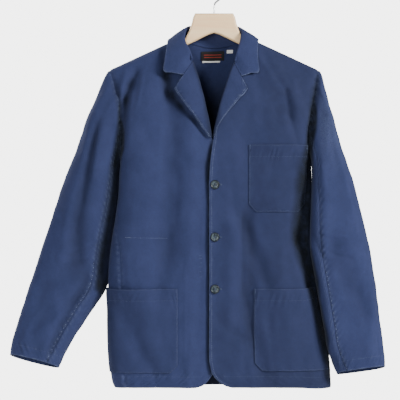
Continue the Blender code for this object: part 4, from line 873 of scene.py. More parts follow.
def sewLines(name, lines, values, material=None):
    # lines are (points, outward, lay or None for along the line)
    vertices, edges, outs, lays = [], [], [], []
    for points, outward, lay in lines:
        start = len(vertices)
        vertices += points.tolist()
        edges += [(start + k, start + k + 1) for k in range(len(points) - 1)]
        outs.append(outward)
        lays.append(unit(np.gradient(points, axis=0)) if lay is None else lay)
    guide = bpy.data.meshes.new(name + "Guide")
    guide.from_pydata(vertices, edges, [])
    for label, data in (("outward", np.concatenate(outs)), ("lay", np.concatenate(lays))):
        field = guide.attributes.new(label, "FLOAT_VECTOR", "POINT")
        field.data.foreach_set("vector", data.astype(np.float32).ravel())
    holder = place(name + "Guide", guide)
    rows = holder.modifiers.new("stitches", "NODES")
    rows.node_group = stitchRow
    ids = {item.name: item.identifier for item in stitchRow.interface.items_tree
           if item.in_out == "INPUT"}
    for label, value in {**(values or {}), "Thread": material or thread}.items():
        rows[ids[label]] = value
    mesh = meshOf(holder)
    mesh.name = name
    bpy.data.objects.remove(holder, do_unlink=True)
    bpy.data.meshes.remove(guide)
    return place(name, mesh)


def layOnBody(turn, z, face, distance):
    # points at a distance from the trunk's surface, with their ways out
    normals = bodyNormal(turn, z, face)
    return bodyPoint(turn, z, face) + normals * distance[..., None], normals


def lineOnBody(places, lift, spacing=0.003):
    # a line over the trunk's front through a few x and z places
    places = np.array(places, dtype=float)
    lengths = np.insert(np.cumsum(np.linalg.norm(np.diff(places, axis=0), axis=1)), 0, 0.0)
    at = np.linspace(0.0, lengths[-1], max(int(lengths[-1] / spacing), 2) + 1)
    x, z = np.interp(at, lengths, places[:, 0]), np.interp(at, lengths, places[:, 1])
    return *layOnBody(turnAt(x, z), z, -1, np.full_like(x, lift)), None


def finishCloth(name, node, piece, material=None):
    # the shell, its stitches and what the frame needs to know of them
    shell = place(name, shellMesh(name, piece), material or navy)
    rows = (("Stitches", piece["lines"], None, thread),
            ("WornStitches", piece["wornLines"], piece.get("wornStitch", wornStitch), wornThread))
    stitches = []
    for label, lines, values, yarn in rows:
        if lines:
            stitches.append(sewLines(name + label, lines, values, yarn))
            declare(stitches[-1])
    declare(shell, node)


def drawIn(points, lastRow=0.0, firstColumn=0.0, lastColumn=0.0):
    # the same grid with its edges drawn in a little
    moved = points.copy()
    moved[-1] += unit(points[-2] - points[-1]) * lastRow
    moved[:, 0] += unit(points[:, 1] - points[:, 0]) * firstColumn
    moved[:, -1] += unit(points[:, -2] - points[:, -1]) * lastColumn
    return moved


# the fronts and the back
panels = {"edgeStitch": 0.0055, "hemStitch": 0.024, "frontCut": (0.275, 0.79),
          # the depths of a deep and of a soft fold at which their painted shade is full
          "backCut": (0.56, 0.775), "fullShadeDepth": 0.016, "softDepth": 0.045,
          # how far the upper front's edge lifts and the lower one dips beside it, and how wide
          "lift": 0.0016, "liftWidth": 0.01, "dip": 0.0024, "dipWidth": 0.005,
          "gapFrom": -0.335, "gapFull": -0.365, "gapWideZ": -0.395, "gapWideReach": 0.045,
          # how wide the painted shadow line beside the upper front's edge is, and how much it
          # widens high up
          "nearWidth": 0.0036, "nearWiden": 0.006,
          # how much painted shade the inside has, and the back's inside from its start down
          "inside": 0.25, "backInsideShade": (0.85, -0.185, 0.085),
          # painted shade on parts of the left front: how dark, where it starts and how far it takes
          # to be full
          "leftTone": (0.15, -0.02, 0.04), "outerTone": (0.16, 0.08, 0.06),
          "lowTone": (0.09, 0.66, 0.08), "topTone": (0.07, -0.34, 0.06), "edgeTone": (0.08, 0.016),
          # painted shade in the closed folds by the sleeves: how dark, how far back it goes, and
          # the most that any painted shade gets
          "foldDark": 0.97, "foldBehind": 0.04, "mostDark": 0.85}
gap = cloth["seamGap"]
# height and depth of the valley that each armhole's seam lies in, how wide it is, and the depth at
# which its painted shade is full
armValley = {
    "right": (
        (-0.185, 0.0), (-0.215, 0.003), (-0.26, 0.006), (-0.31, 0.007), (-0.36, 0.008),
        (-0.4, 0.006), (-0.45, 0.0)),
    "left": (
        (-0.185, 0.001), (-0.205, 0.006), (-0.24, 0.009), (-0.3, 0.009), (-0.36, 0.008),
        (-0.4, 0.006), (-0.45, 0.0)),
    "bodyReach": 0.0085, "sleeveReach": 0.011, "frontReach": 0.012, "darkDepth": 0.0095}
# painted shade where trunk and sleeves lie against each other: height, how far out the cloth is
# still unshaded, and where the painted shade is at its darkest, with its darkness where that isn't
# the usual one
creviceShade = {
    "frontRight": (
        (-0.27, 0.227, 0.233), (-0.3, 0.196, 0.202), (-0.3235, 0.1905, 0.1965),
        (-0.361, 0.1915, 0.1975), (-0.385, 0.199, 0.205), (-0.394, 0.212, 0.218),
        (-0.42, 0.227, 0.233), (-0.8844, 0.267, 0.273)),
    "frontLeft": (
        (-0.2, 0.215, 0.226, 0.3), (-0.232, 0.199, 0.211, 0.55), (-0.254, 0.199, 0.211, 0.6),
        (-0.286, 0.195, 0.21, 0.66), (-0.319, 0.192, 0.207, 0.88), (-0.351, 0.185, 0.206),
        (-0.384, 0.161, 0.204), (-0.427, 0.154, 0.191), (-0.471, 0.153, 0.193),
        (-0.514, 0.14, 0.191), (-0.551, 0.146, 0.184), (-0.579, 0.153, 0.191),
        (-0.612, 0.165, 0.198), (-0.644, 0.183, 0.208), (-0.688, 0.194, 0.217),
        (-0.731, 0.208, 0.225), (-0.775, 0.216, 0.234), (-0.818, 0.227, 0.243),
        (-0.85, 0.25, 0.262)),
    "sleeveRight": (
        (-0.2, 0.203, 0.197), (-0.26, 0.212, 0.206), (-0.319, 0.218, 0.205), (-0.351, 0.223, 0.209),
        (-0.394, 0.234, 0.218), (-0.438, 0.245, 0.216), (-0.471, 0.251, 0.219),
        (-0.503, 0.253, 0.227), (-0.536, 0.257, 0.231), (-0.579, 0.266, 0.244),
        (-0.623, 0.268, 0.25), (-0.666, 0.268, 0.252), (-0.7, 0.24, 0.23)),
    "sleeveLeft": (
        (-0.205, 0.213, 0.207), (-0.232, 0.219, 0.213), (-0.254, 0.226, 0.219),
        (-0.286, 0.228, 0.221), (-0.319, 0.226, 0.218), (-0.351, 0.219, 0.212),
        (-0.384, 0.219, 0.21), (-0.427, 0.215, 0.206), (-0.471, 0.215, 0.206),
        (-0.514, 0.213, 0.205), (-0.551, 0.206, 0.198), (-0.579, 0.216, 0.208),
        (-0.612, 0.223, 0.215), (-0.644, 0.23, 0.222), (-0.688, 0.234, 0.226),
        (-0.731, 0.243, 0.235), (-0.775, 0.252, 0.244), (-0.818, 0.253, 0.245))}


def paintCreviceShade(piece, name):
    # paints shade on the cloth beyond a line down its side, or within it on a sleeve, on its front
    # half
    x, y, z = piece["points"].transpose(2, 0, 1)
    rows = [(row + (panels["foldDark"],))[:4] for row in creviceShade[name]]
    light, full, dark = (straightColumn(rows, k, z) for k in (1, 2, 3))
    share = ease((np.abs(x) - light) / (full - light)) * ease(0.5 - y / panels["foldBehind"])
    piece["paintedShade"] = np.maximum(piece["paintedShade"], dark * share)


def seamValley(piece, edge, label, reach):
    # draws the cloth back along an armhole's front half and paints shade in the valley
    distance, _ = edgeWays(piece, edge)
    places = piece["points"]
    depth = straightColumn(armValley[label], 1, places[..., 2])
    share = np.exp(-(distance / reach)**2) * ease(-places[..., 1] / armValley["frontReach"])
    piece["paintedShade"] = np.maximum(piece["paintedShade"], share * depth / armValley["darkDepth"])
    places[..., 1] += depth * share


def frontGap(piece, side):
    # the upper front's edge stands a little off the lower front, which dips beside it and has a
    # painted shadow line there
    places = piece["points"]
    z = places[..., 2]
    away = straightColumn(body["leftEdge"], 1, z) - places[..., 0]
    below = ease((z - panels["gapFrom"]) / (panels["gapFull"] - panels["gapFrom"]))
    uneven = 1.0 + 0.35 * ripple(z, 27, 0.16)
    if side > 0:
        places[..., 1] -= panels["lift"] * below * uneven * np.exp(-(away / panels["liftWidth"])**2)
        return
    high = np.exp(-((z - panels["gapWideZ"]) / panels["gapWideReach"])**2)
    width = panels["dipWidth"] * (1.0 + 1.1 * high)
    dip = np.exp(-((away - 0.0015) / width)**2) * below * uneven
    width = panels["nearWidth"] + panels["nearWiden"] * high
    near = np.exp(-((away - 0.0005) / width)**2) * below
    places[..., 1] += panels["dip"] * dip * (1.0 + 0.8 * high)
    piece["paintedShade"] = np.maximum(piece["paintedShade"], near)


def sewPanel(points, normals, seed, side=0):
    # a front of one side, or the back where the side is 0
    piece = newCloth(points, normals)
    if side:
        piece["up"] = points[..., 2] - hemLine(points[..., 0], -1)
        sewEdge(piece, "firstColumn", seed, inset=panels["edgeStitch"], wearAndHighlight=0.25)
    else:
        joinEdge(piece, "firstColumn", seed)
    sewEdge(piece, "firstRow", seed + 3, inset=panels["hemStitch"], swell=0.0002, pucker=0.0005,
            size=0.014, reach=0.01, wearAndHighlight=0.2)
    joinEdge(piece, "lastColumn", seed + 6, wearAndHighlight=0.05)
    return piece


def shadeFront(piece, side):
    # painted shade on a front: in its folds, on its darker parts and by its edge, inside, in its
    # gap, in its armhole's valley and in its closed fold
    x, z = piece["points"][..., 0], piece["points"][..., 2]
    label = "Left" if side > 0 else "Right"
    dark = -foldRelief(creases["frontDeep"], x, z) / panels["fullShadeDepth"] \
        - foldRelief(creases["front"], x, z) / panels["softDepth"]
    dark = np.clip(dark, 0.0, panels["mostDark"])
    if side > 0:
        tone, reach = panels["edgeTone"]
        dark += tone * np.exp(-(piece["across"] / reach)**2)
        for part, at in (("leftTone", x), ("outerTone", x), ("lowTone", -z), ("topTone", z)):
            tone, start, reach = panels[part]
            dark += tone * ease((at - start) / reach)
    piece["paintedShade"] = dark
    piece["inside"] += panels["inside"]
    frontGap(piece, side)
    seamValley(piece, "lastColumn", label.lower(), armValley["bodyReach"])
    paintCreviceShade(piece, "front" + label)


fronts = {-1: frontGrid(-1), 1: frontGrid(1)}
wholeBack, backOut = backGrid()

for side, label, seed, end, kind in ((-1, "right", 21, 0.19, "lines"),
                                     (1, "left", 31, 0.21, "wornLines")):
    points, normals = fronts[side]
    piece = sewPanel(drawIn(points, lastRow=gap, lastColumn=gap), normals, seed, side)
    shadeFront(piece, side)
    stitchLine(piece, "firstColumn", panels["edgeStitch"], end=end, kind=kind)
    stitchLine(piece, "firstRow", panels["hemStitch"], start=0.02)
    finishCloth(f"front{label.capitalize()}Cloth", f"front_{label}", piece)

back = sewPanel(drawIn(wholeBack, lastRow=gap, firstColumn=gap, lastColumn=gap), backOut, 41)
backX, backY, backZ = back["points"].transpose(2, 0, 1)
# painted shade in the back's folds and on its inside below the neck
backFoldShade = -foldRelief(creases["back"], backX, backZ) / panels["softDepth"]
back["paintedShade"] = np.clip(backFoldShade, 0.0, 0.6) * (backY > 0.0)
dark, start, reach = panels["backInsideShade"]
back["inside"] = dark * ease((start - backZ) / reach)
stitchLine(back, "firstRow", panels["hemStitch"])
finishCloth("backCloth", "back", back)
print("fronts and back made")

# the sleeves
sleeves = {
    "power": {"right": 2.25, "left": 3.0}, "start": 0.0011, "startUnder": 0.0006, "head": 0.034,
    "tuck": 0.004, "lean": 0.0014, "setBack": {"right": 0.014, "left": -0.012},
    # a fold's painted shade is full at the depth given here
    "contact": {"right": 5.6, "left": 8.4}, "fullShadeDepth": 0.028, "frontSeam": 125.0,
    "hindSeam": 238.0, "ringHalf": 70, "headBands": 18, "rowBands": 24, "foldFade": 0.7,
    # how much painted shade lies all over each sleeve, and from where its seam stitches run
    "tone": {"right": 0.03, "left": 0.01}, "stitchFrom": {"right": 0.3, "left": 0.31},
    # a painted highlight on the upper sleeve: how pale, its x and z, how far each reaches, and how
    # far back it goes
    "fade": {"right": 0.0, "left": 0.13}, "fadeX": 0.222, "fadeXReach": 0.012, "fadeZ": -0.3,
    "fadeZReach": 0.075, "fadeY": 0.012,
    "seamInset": 0.0012, "seamWidth": 0.0026, "seamDark": {"right": 0.36, "left": 0.26},
    "seamFrom": 0.18, "seamReach": 0.05,
    "cuffStitch": 0.022, "topCut": (0.34, 0.7), "underCut": (0.17, 0.62),
    # outer x, outer z, inner x, inner z, middle y, half depth, rise of the front above the back
    "right": (
        (-0.2673, -0.2706, -0.2092, -0.406, 0.0, 0.047, 0.0),
        (-0.2948, -0.3432, -0.2117, -0.4532, 0.002, 0.049, 0.0),
        (-0.3256, -0.429, -0.2168, -0.5016, 0.004, 0.047, 0.0),
        (-0.3553, -0.5126, -0.2254, -0.5522, 0.004, 0.044, 0.001),
        (-0.3784, -0.5808, -0.2312, -0.605, 0.002, 0.041, 0.002),
        (-0.3971, -0.638, -0.2352, -0.66, -0.002, 0.0385, 0.003),
        (-0.4125, -0.6886, -0.269, -0.7117, -0.008, 0.0365, 0.004),
        (-0.4268, -0.7392, -0.3003, -0.7612, -0.016, 0.035, 0.006),
        (-0.4378, -0.7788, -0.3212, -0.7975, -0.022, 0.0335, 0.008),
        (-0.4448, -0.8085, -0.341, -0.8349, -0.027, 0.032, 0.009)),
    "left": (
        (0.2541, -0.2706, 0.2166, -0.404, -0.002, 0.047, 0.0),
        (0.2739, -0.341, 0.2154, -0.4488, -0.005, 0.049, 0.0),
        (0.3003, -0.4202, 0.2136, -0.4884, -0.008, 0.048, 0.0),
        (0.3219, -0.5016, 0.2114, -0.5412, -0.01, 0.0455, 0.001),
        (0.3384, -0.5742, 0.2124, -0.5852, -0.012, 0.0425, 0.002),
        (0.3476, -0.6358, 0.2218, -0.6402, -0.016, 0.04, 0.003),
        (0.3553, -0.6908, 0.2316, -0.6974, -0.021, 0.038, 0.004),
        (0.3608, -0.7392, 0.2398, -0.748, -0.027, 0.036, 0.006),
        (0.3663, -0.7854, 0.2468, -0.7942, -0.032, 0.0345, 0.007),
        (0.369, -0.8335, 0.268, -0.8475, -0.037, 0.033, 0.008)),
    # row at its start and end, turn in degrees at its start and end, half width, height
    "rightFolds": (
        (1.6, 5.2, 63.0, 95.0, 13.0, -0.0105), (1.0, 9.0, 26.0, 26.0, 16.0, 0.0042),
        (6.0, 9.0, 112.0, 118.0, 9.0, -0.0075), (4.6, 6.8, 168.0, 112.0, 13.0, -0.005),
        (5.6, 8.2, 150.0, 88.0, 13.0, 0.0035), (6.6, 9.2, 60.0, 92.0, 14.0, -0.0035),
        (1.5, 6.0, 292.0, 268.0, 16.0, -0.005), (5.0, 8.0, 250.0, 300.0, 14.0, 0.004),
        (4.4, 5.0, 120.0, 70.0, 7.0, 0.0012), (5.0, 5.5, 116.0, 76.0, 6.0, -0.0012),
        (2.2, 3.6, 84.0, 92.0, 6.0, 0.0011), (7.2, 8.4, 70.0, 58.0, 7.0, 0.001),
        (0.4, 1.6, 20.0, 34.0, 8.0, -0.0013), (3.0, 4.6, 18.0, 30.0, 8.0, 0.0012),
        (2.0, 3.2, 300.0, 320.0, 9.0, 0.0014), (4.2, 5.2, 240.0, 292.0, 7.0, -0.0014)),
    "leftFolds": (
        (1.2, 3.4, 66.0, 78.0, 14.0, -0.0022), (2.0, 5.0, 98.0, 118.0, 14.0, 0.004),
        (3.8, 5.4, 168.0, 118.0, 12.0, -0.0045), (5.0, 7.6, 100.0, 72.0, 14.0, -0.004),
        (6.4, 9.2, 44.0, 74.0, 15.0, 0.0035), (1.4, 5.6, 288.0, 266.0, 16.0, -0.005),
        (5.2, 8.4, 252.0, 298.0, 14.0, 0.004), (0.3, 1.5, 34.0, 48.0, 8.0, 0.0014),
        (4.0, 4.6, 130.0, 84.0, 7.0, 0.0013), (4.8, 5.4, 124.0, 80.0, 6.0, -0.0012),
        (2.6, 4.0, 56.0, 60.0, 6.0, 0.001), (6.8, 8.0, 96.0, 86.0, 7.0, 0.001),
        (7.6, 9.0, 60.0, 50.0, 7.0, -0.001), (2.2, 3.4, 310.0, 324.0, 9.0, 0.0014),
        (4.4, 5.4, 240.0, 288.0, 7.0, -0.0014))}


def evenly(line, count):
    # the same line with evenly spaced points
    lengths = np.concatenate(([0.0], np.cumsum(np.linalg.norm(np.diff(line, axis=0), axis=1))))
    at = np.linspace(0.0, lengths[-1], count)
    return np.stack([np.interp(at, lengths, line[:, k]) for k in range(3)], axis=1)


def armholeRing(front, rear, side):
    # points round an armhole: shoulder, down the front, underarm, up the back
    frontEdge = front[underRow:, -1][::-1]
    backEdge = rear[underRow:, 0 if side < 0 else -1]
    half = sleeves["ringHalf"]
    return np.concatenate((evenly(frontEdge, half + 1), evenly(backEdge, half + 1)[1:-1]))


def sleeveSection(row, turns, squareness):
    # one ring of a sleeve: rounded where the squareness is 2, boxier above it
    outerX, outerZ, innerX, innerZ, middleY, halfDepth, rise = row
    angle = np.radians(turns)
    across, forward = (np.sign(wave) * np.abs(wave)**(2.0 / squareness)
                       for wave in (np.cos(angle), np.sin(angle)))
    x = (outerX + innerX) / 2 + (outerX - innerX) / 2 * across
    z = (outerZ + innerZ) / 2 + (outerZ - innerZ) / 2 * across + rise * forward
    return np.stack((x, middleY - halfDepth * forward, z), axis=-1)


def gridNormals(points, outward):
    byRow, byColumn = np.gradient(points, axis=0), np.gradient(points, axis=1)
    return unit(np.cross(byColumn, byRow)) * outward


def loopNormals(points, side):
    # ways out of a tube whose last column meets its first
    wrapped = np.concatenate((points[:, -1:], points, points[:, :1]), axis=1)
    return gridNormals(wrapped, side)[:, 1:-1]


def sleeveGrid(label, ring, side, seed):
    rows, contact = sleeves[label], sleeves["contact"][label]
    turns = np.arange(len(ring)) * 180.0 / sleeves["ringHalf"]
    head = unit(np.array((side, 0.0, -body["slope"])))
    under = ((1.0 - np.cos(np.radians(turns))) / 2)[:, None]
    sideways = np.array((side, 0.0, 0.0))
    stations = [ring + head * sleeves["start"] + sideways * sleeves["startUnder"] * under**5]
    stations = np.array(stations + [sleeveSection(row, turns, sleeves["power"][label])
                                    for row in rows])
    slopes = np.gradient(stations, axis=0)
    slopes[0] = head * sleeves["head"] * (1.0 - 0.94 * under**3)
    bands = [sleeves["headBands"]] + [sleeves["rowBands"]] * (len(rows) - 1)
    places = np.concatenate([index + np.arange(n) / n for index, n in enumerate(bands)])
    fine = len(rows) - cellShares(0.09, 0.0045, startCell=cloth["edgeCell"])[::-1]
    places = np.concatenate((places[places < len(rows) - 1 - 1e-9], fine))
    base = np.minimum(places.astype(int), len(rows) - 1)
    points = hermite((places - base)[:, None, None], stations[base], stations[base + 1],
                     slopes[base], slopes[base + 1])
    normals = loopNormals(points, side)
    # it lies close along the body's side as far down as its contact goes
    inner = np.exp(-((turns[None, :] - 180.0) / 42.0)**2)
    beside = inner * ease((contact - places) / 0.8)[:, None]
    folded = np.zeros_like(beside)
    for start, end, turn0, turn1, width, height in sleeves[label + "Folds"]:
        share = (places[:, None] - start) / (end - start)
        line = turn0 + (turn1 - turn0) * np.clip(share, 0, 1)
        past = np.maximum(np.maximum(-share, share - 1.0), 0.0) * (end - start)
        folded += height * np.exp(-((turns[None, :] - line) / width)**2
                                  - (past / sleeves["foldFade"])**2)
    relief = handRelief(points, seed) * 1.15 + folded
    relief = relief * ease(places / 0.5)[:, None] * (1.0 - beside)
    points = points + normals * relief[..., None]
    points[..., 0] -= side * sleeves["lean"] * beside
    reach = ease(places / 0.7) * ease((contact + 1.5 - places) / 2.0)
    points[..., 1] += sleeves["setBack"][label] * under.T**3 * reach[:, None]
    tuck = points[:1] - head * sleeves["tuck"] - normals[:1] * cloth["thick"] * 1.05
    points = np.concatenate((tuck, points[:1] - normals[:1] * cloth["thick"] * 0.6, points[1:]))
    paintedShade = np.clip(-folded / sleeves["fullShadeDepth"], 0.0, 1.0)
    return points, loopNormals(points, side), turns, np.concatenate((paintedShade[:1], paintedShade))


def shadeSleeve(piece, label, paintedShade):
    # painted shade on a sleeve's folds, all over it, in its armhole's valley and in its closed
    # fold, and a painted highlight on its upper part
    piece["paintedShade"] = paintedShade + sleeves["tone"][label]
    seamValley(piece, "firstRow", label, armValley["sleeveReach"])
    x, y, z = piece["points"].transpose(2, 0, 1)
    outer = ease((np.abs(x) - sleeves["fadeX"]) / sleeves["fadeXReach"]) * (y < sleeves["fadeY"])
    near = np.exp(-((z - sleeves["fadeZ"]) / sleeves["fadeZReach"])**2)
    # a painted highlight on the upper outer sleeve
    piece["wearAndHighlight"] += sleeves["fade"][label] * outer * near
    paintCreviceShade(piece, "sleeve" + label.capitalize())


def sewSleeveSeam(piece, label, seed):
    # the front seam's long stitches, and the dark line that it makes
    piece["wornStitch"] = seamStitch
    stitchLine(piece, "lastColumn", 0.003, start=sleeves["stitchFrom"][label], end=0.004,
               kind="wornLines")
    distance, along = edgeWays(piece, "lastColumn")
    seam = np.exp(-((distance - sleeves["seamInset"]) / sleeves["seamWidth"])**2) \
        * ease((along - sleeves["seamFrom"]) / sleeves["seamReach"])
    seam *= sleeves["seamDark"][label] * (1.0 + 0.6 * ripple(along, seed, 0.02))
    piece["paintedShade"] = np.maximum(piece["paintedShade"], np.clip(seam, 0.0, panels["mostDark"]))


def makeSleeve(label, side, seed):
    ring = armholeRing(fronts[side][0], wholeBack, side)
    points, normals, turns, paintedShade = sleeveGrid(label, ring, side, seed)
    frontSeam, hindSeam = (int(np.argmin(np.abs(turns - sleeves[seam])))
                           for seam in ("frontSeam", "hindSeam"))
    top = [index % len(turns) for index in range(hindSeam, len(turns) + frontSeam + 1)]
    for part, picks in (("Top", top), ("Under", list(range(frontSeam, hindSeam + 1)))):
        grid = drawIn(points[:, picks], firstColumn=gap, lastColumn=gap)
        piece = newCloth(grid, normals[:, picks])
        joinEdge(piece, "firstColumn", seed + 1, pucker=0.0006, size=0.012)
        joinEdge(piece, "lastColumn", seed + 2, pucker=0.0009, size=0.013)
        joinEdge(piece, "firstRow", seed + 3, dip=0.0003, reach=0.005)
        shadeSleeve(piece, label, paintedShade[:, picks])
        sewEdge(piece, "lastRow", seed + 4, inset=sleeves["cuffStitch"], swell=0.0002,
                pucker=0.0006, size=0.012, reach=0.008, wearAndHighlight=0.35)
        stitchLine(piece, "lastRow", sleeves["cuffStitch"])
        if part == "Top":
            sewSleeveSeam(piece, label, seed + 9)
        finishCloth(f"sleeve{label.capitalize()}{part}Cloth", f"sleeve_{label}_{part.lower()}",
                    piece)


makeSleeve("right", -1, 51)
makeSleeve("left", 1, 61)
print("sleeves made")

# the collar and the lapels
collar = {
    "thick": 0.0018, "roll": 0.0042, "arch": 0.0065, "standCells": 14, "fallCells": 26, "rows": 190,
    "columns": 52, "blendRows": 12, "stitch": 0.0024, "secondStitch": 0.0088, "cut": (0.43, 0.105),
    # neck seam x, y, z, fold x, y, z, outer edge x, y, z, from the right gorge round the neck
    "table": (
        (-0.05, -0.033, -0.1665, -0.0489, -0.0385, -0.164, -0.0735, -0.0465, -0.1955),
        (-0.0535, -0.0305, -0.158, -0.052, -0.0375, -0.153, -0.0915, -0.045, -0.1945),
        (-0.059, -0.0265, -0.1475, -0.056, -0.035, -0.142, -0.1089, -0.0425, -0.1912),
        (-0.065, -0.0215, -0.1365, -0.0612, -0.03, -0.131, -0.1082, -0.0365, -0.168),
        (-0.07, -0.0165, -0.1265, -0.0648, -0.0225, -0.12, -0.1049, -0.029, -0.147),
        (-0.0732, -0.0085, -0.1172, -0.064, -0.0125, -0.1045, -0.1025, -0.0145, -0.1255),
        (-0.0728, 0.0065, -0.1147, -0.06, 0.003, -0.0925, -0.1012, 0.0035, -0.1205),
        (-0.062, 0.0158, -0.1205, -0.053, 0.0165, -0.0865, -0.093, 0.023, -0.1335),
        (-0.044, 0.0208, -0.1272, -0.038, 0.0255, -0.086, -0.07, 0.035, -0.148),
        (-0.022, 0.0252, -0.1322, -0.019, 0.031, -0.0865, -0.037, 0.04, -0.156),
        (0.0, 0.0273, -0.1339, 0.0, 0.0335, -0.087, 0.0, 0.042, -0.1585),
        (0.022, 0.0252, -0.1322, 0.019, 0.031, -0.0865, 0.037, 0.04, -0.156),
        (0.044, 0.0208, -0.1272, 0.039, 0.0255, -0.086, 0.069, 0.035, -0.148),
        (0.062, 0.0158, -0.1205, 0.054, 0.0165, -0.087, 0.09, 0.023, -0.133),
        (0.0728, 0.0065, -0.1147, 0.059, 0.003, -0.0935, 0.097, 0.0035, -0.119),
        (0.0732, -0.0085, -0.1172, 0.0605, -0.0125, -0.1045, 0.0962, -0.0145, -0.124),
        (0.069, -0.017, -0.1275, 0.0585, -0.023, -0.12, 0.0945, -0.0265, -0.147),
        (0.0625, -0.0225, -0.1385, 0.0555, -0.03, -0.133, 0.0955, -0.033, -0.168),
        (0.056, -0.027, -0.1495, 0.0515, -0.0345, -0.145, 0.0964, -0.0385, -0.1922),
        (0.051, -0.03, -0.16, 0.0485, -0.037, -0.157, 0.0775, -0.0425, -0.195),
        (0.0465, -0.033, -0.1695, 0.0462, -0.0385, -0.1685, 0.06, -0.043, -0.195))}
lapels = {
    "roll": 0.0019, "tuck": {"right": 0.0022, "left": 0.0029}, "topGap": 0.0006, "notch": 0.5,
    "rows": 90, "stitch": 0.004, "cut": (0.062, 0.17), "tone": 0.1,
    # painted shade by the roll line: how dark, and how far it goes at the top and at the bottom
    "rollShade": {"right": 0.6, "left": 0.45}, "rollReach": (0.0055, 0.012),
    "reachFrom": -0.255, "reachFull": 0.06,
    # roll line x, z, outer edge x, z, and how far the outer edge stands off the front
    "right": (
        (-0.0063, -0.335, -0.012, -0.3335, 0.0035), (-0.01, -0.3168, -0.0262, -0.3146, 0.005),
        (-0.0142, -0.2948, -0.0422, -0.2904, 0.0085), (-0.0187, -0.275, -0.0545, -0.275, 0.011),
        (-0.0238, -0.2508, -0.067, -0.258, 0.013), (-0.0295, -0.229, -0.0782, -0.243, 0.014),
        (-0.0355, -0.2068, -0.0852, -0.2312, 0.014), (-0.0415, -0.188, -0.086, -0.2306, 0.0135),
        (-0.0478, -0.1695, -0.0866, -0.2298, 0.013)),
    "left": (
        (-0.0005, -0.335, 0.003, -0.331, 0.003), (0.0021, -0.3168, 0.0085, -0.311, 0.0034),
        (0.0069, -0.2948, 0.0262, -0.2845, 0.004), (0.012, -0.273, 0.0402, -0.268, 0.0044),
        (0.0179, -0.2508, 0.0532, -0.2515, 0.0048), (0.0246, -0.229, 0.0636, -0.242, 0.005),
        (0.0318, -0.2068, 0.0695, -0.2334, 0.0052), (0.0375, -0.19, 0.0715, -0.231, 0.0052),
        (0.0433, -0.1742, 0.0728, -0.2294, 0.0052))}


def bend(start, pullStart, pullEnd, end, count):
    # a curve from one point to another that two more pull
    t = np.linspace(0.0, 1.0, count)[:, None]
    return ((1 - t)**3 * start + 3 * (1 - t)**2 * t * pullStart + 3 * (1 - t) * t**2 * pullEnd
            + t**3 * end)


def collarSection(row):
    # up the stand from the neck seam, round the fold and down the fall
    seam, fold, edge = row[0:3], row[3:6], row[6:9]
    away = edge - seam
    away[2] = 0.0
    away = unit(away) * collar["roll"]
    stand = bend(seam, seam + (fold - seam) * 0.5, fold - away, fold, collar["standCells"])
    lift = np.array((0.0, 0.0, collar["arch"]))
    fall = bend(fold, fold + away, edge + (fold - edge) * 0.6 + lift, edge, collar["fallCells"])
    return np.concatenate((stand, fall[1:]))


def overFront(x, z, standOff, share, side):
    # points of a lapel over the front's own surface, at a share of the lapel's width
    points = bodyPoint(turnAt(x, z), z, -1)
    if side < 0:
        points = underFront(points)
    base = cloth["thick"] + cloth["layGap"]
    points[..., 1] -= base + lapels["roll"] + (standOff - base) * np.sin(share * math.pi / 2)
    return points


def gorgeLine(label, side, count):
    # where a collar's end meets the lapel's top edge, from the roll line out to the notch
    rollX, rollZ, edgeX, edgeZ, standOff = lapels[label][-1]
    run = np.array((edgeX - rollX, edgeZ - rollZ))
    above = np.array((run[1], -run[0])) * side / np.hypot(*run) * lapels["topGap"]
    share = np.linspace(0.0, lapels["notch"], count)
    return overFront(rollX + run[0] * share - above[0], rollZ + run[1] * share - above[1],
                     standOff, share, side)


def makeCollar():
    points = np.array([collarSection(row) for row in finerRows(collar["table"], collar["rows"])])
    stand = collar["standCells"]
    for label, side, end, way in (("right", -1, 0, 1), ("left", 1, -1, -1)):
        target = points[end].copy()
        target[stand:] = gorgeLine(label, side, collar["fallCells"])[1:]
        shift = target - points[end]
        for step in range(collar["blendRows"]):
            points[end + way * step] += shift * (1.0 - ease(step / collar["blendRows"]))
    points = np.array([evenly(row, collar["columns"]) for row in points])
    points += gridNormals(points, 1.0) * (handRelief(points, 71) * 0.5)[..., None]
    piece = newCloth(points, gridNormals(points, 1.0), collar["thick"])
    sewEdge(piece, "lastColumn", 72, inset=collar["stitch"], wearAndHighlight=0.85, wearWidth=0.0013)
    for edge, seed in (("firstRow", 74), ("lastRow", 76)):
        joinEdge(piece, edge, seed, dip=0.0005, reach=0.002, wearAndHighlight=0.0)
    stitchLine(piece, "lastColumn", collar["stitch"], start=0.004, end=0.004, kind="wornLines")
    stitchLine(piece, "lastColumn", collar["secondStitch"], start=0.01, end=0.01)
    finishCloth("collarCloth", "collar", piece)


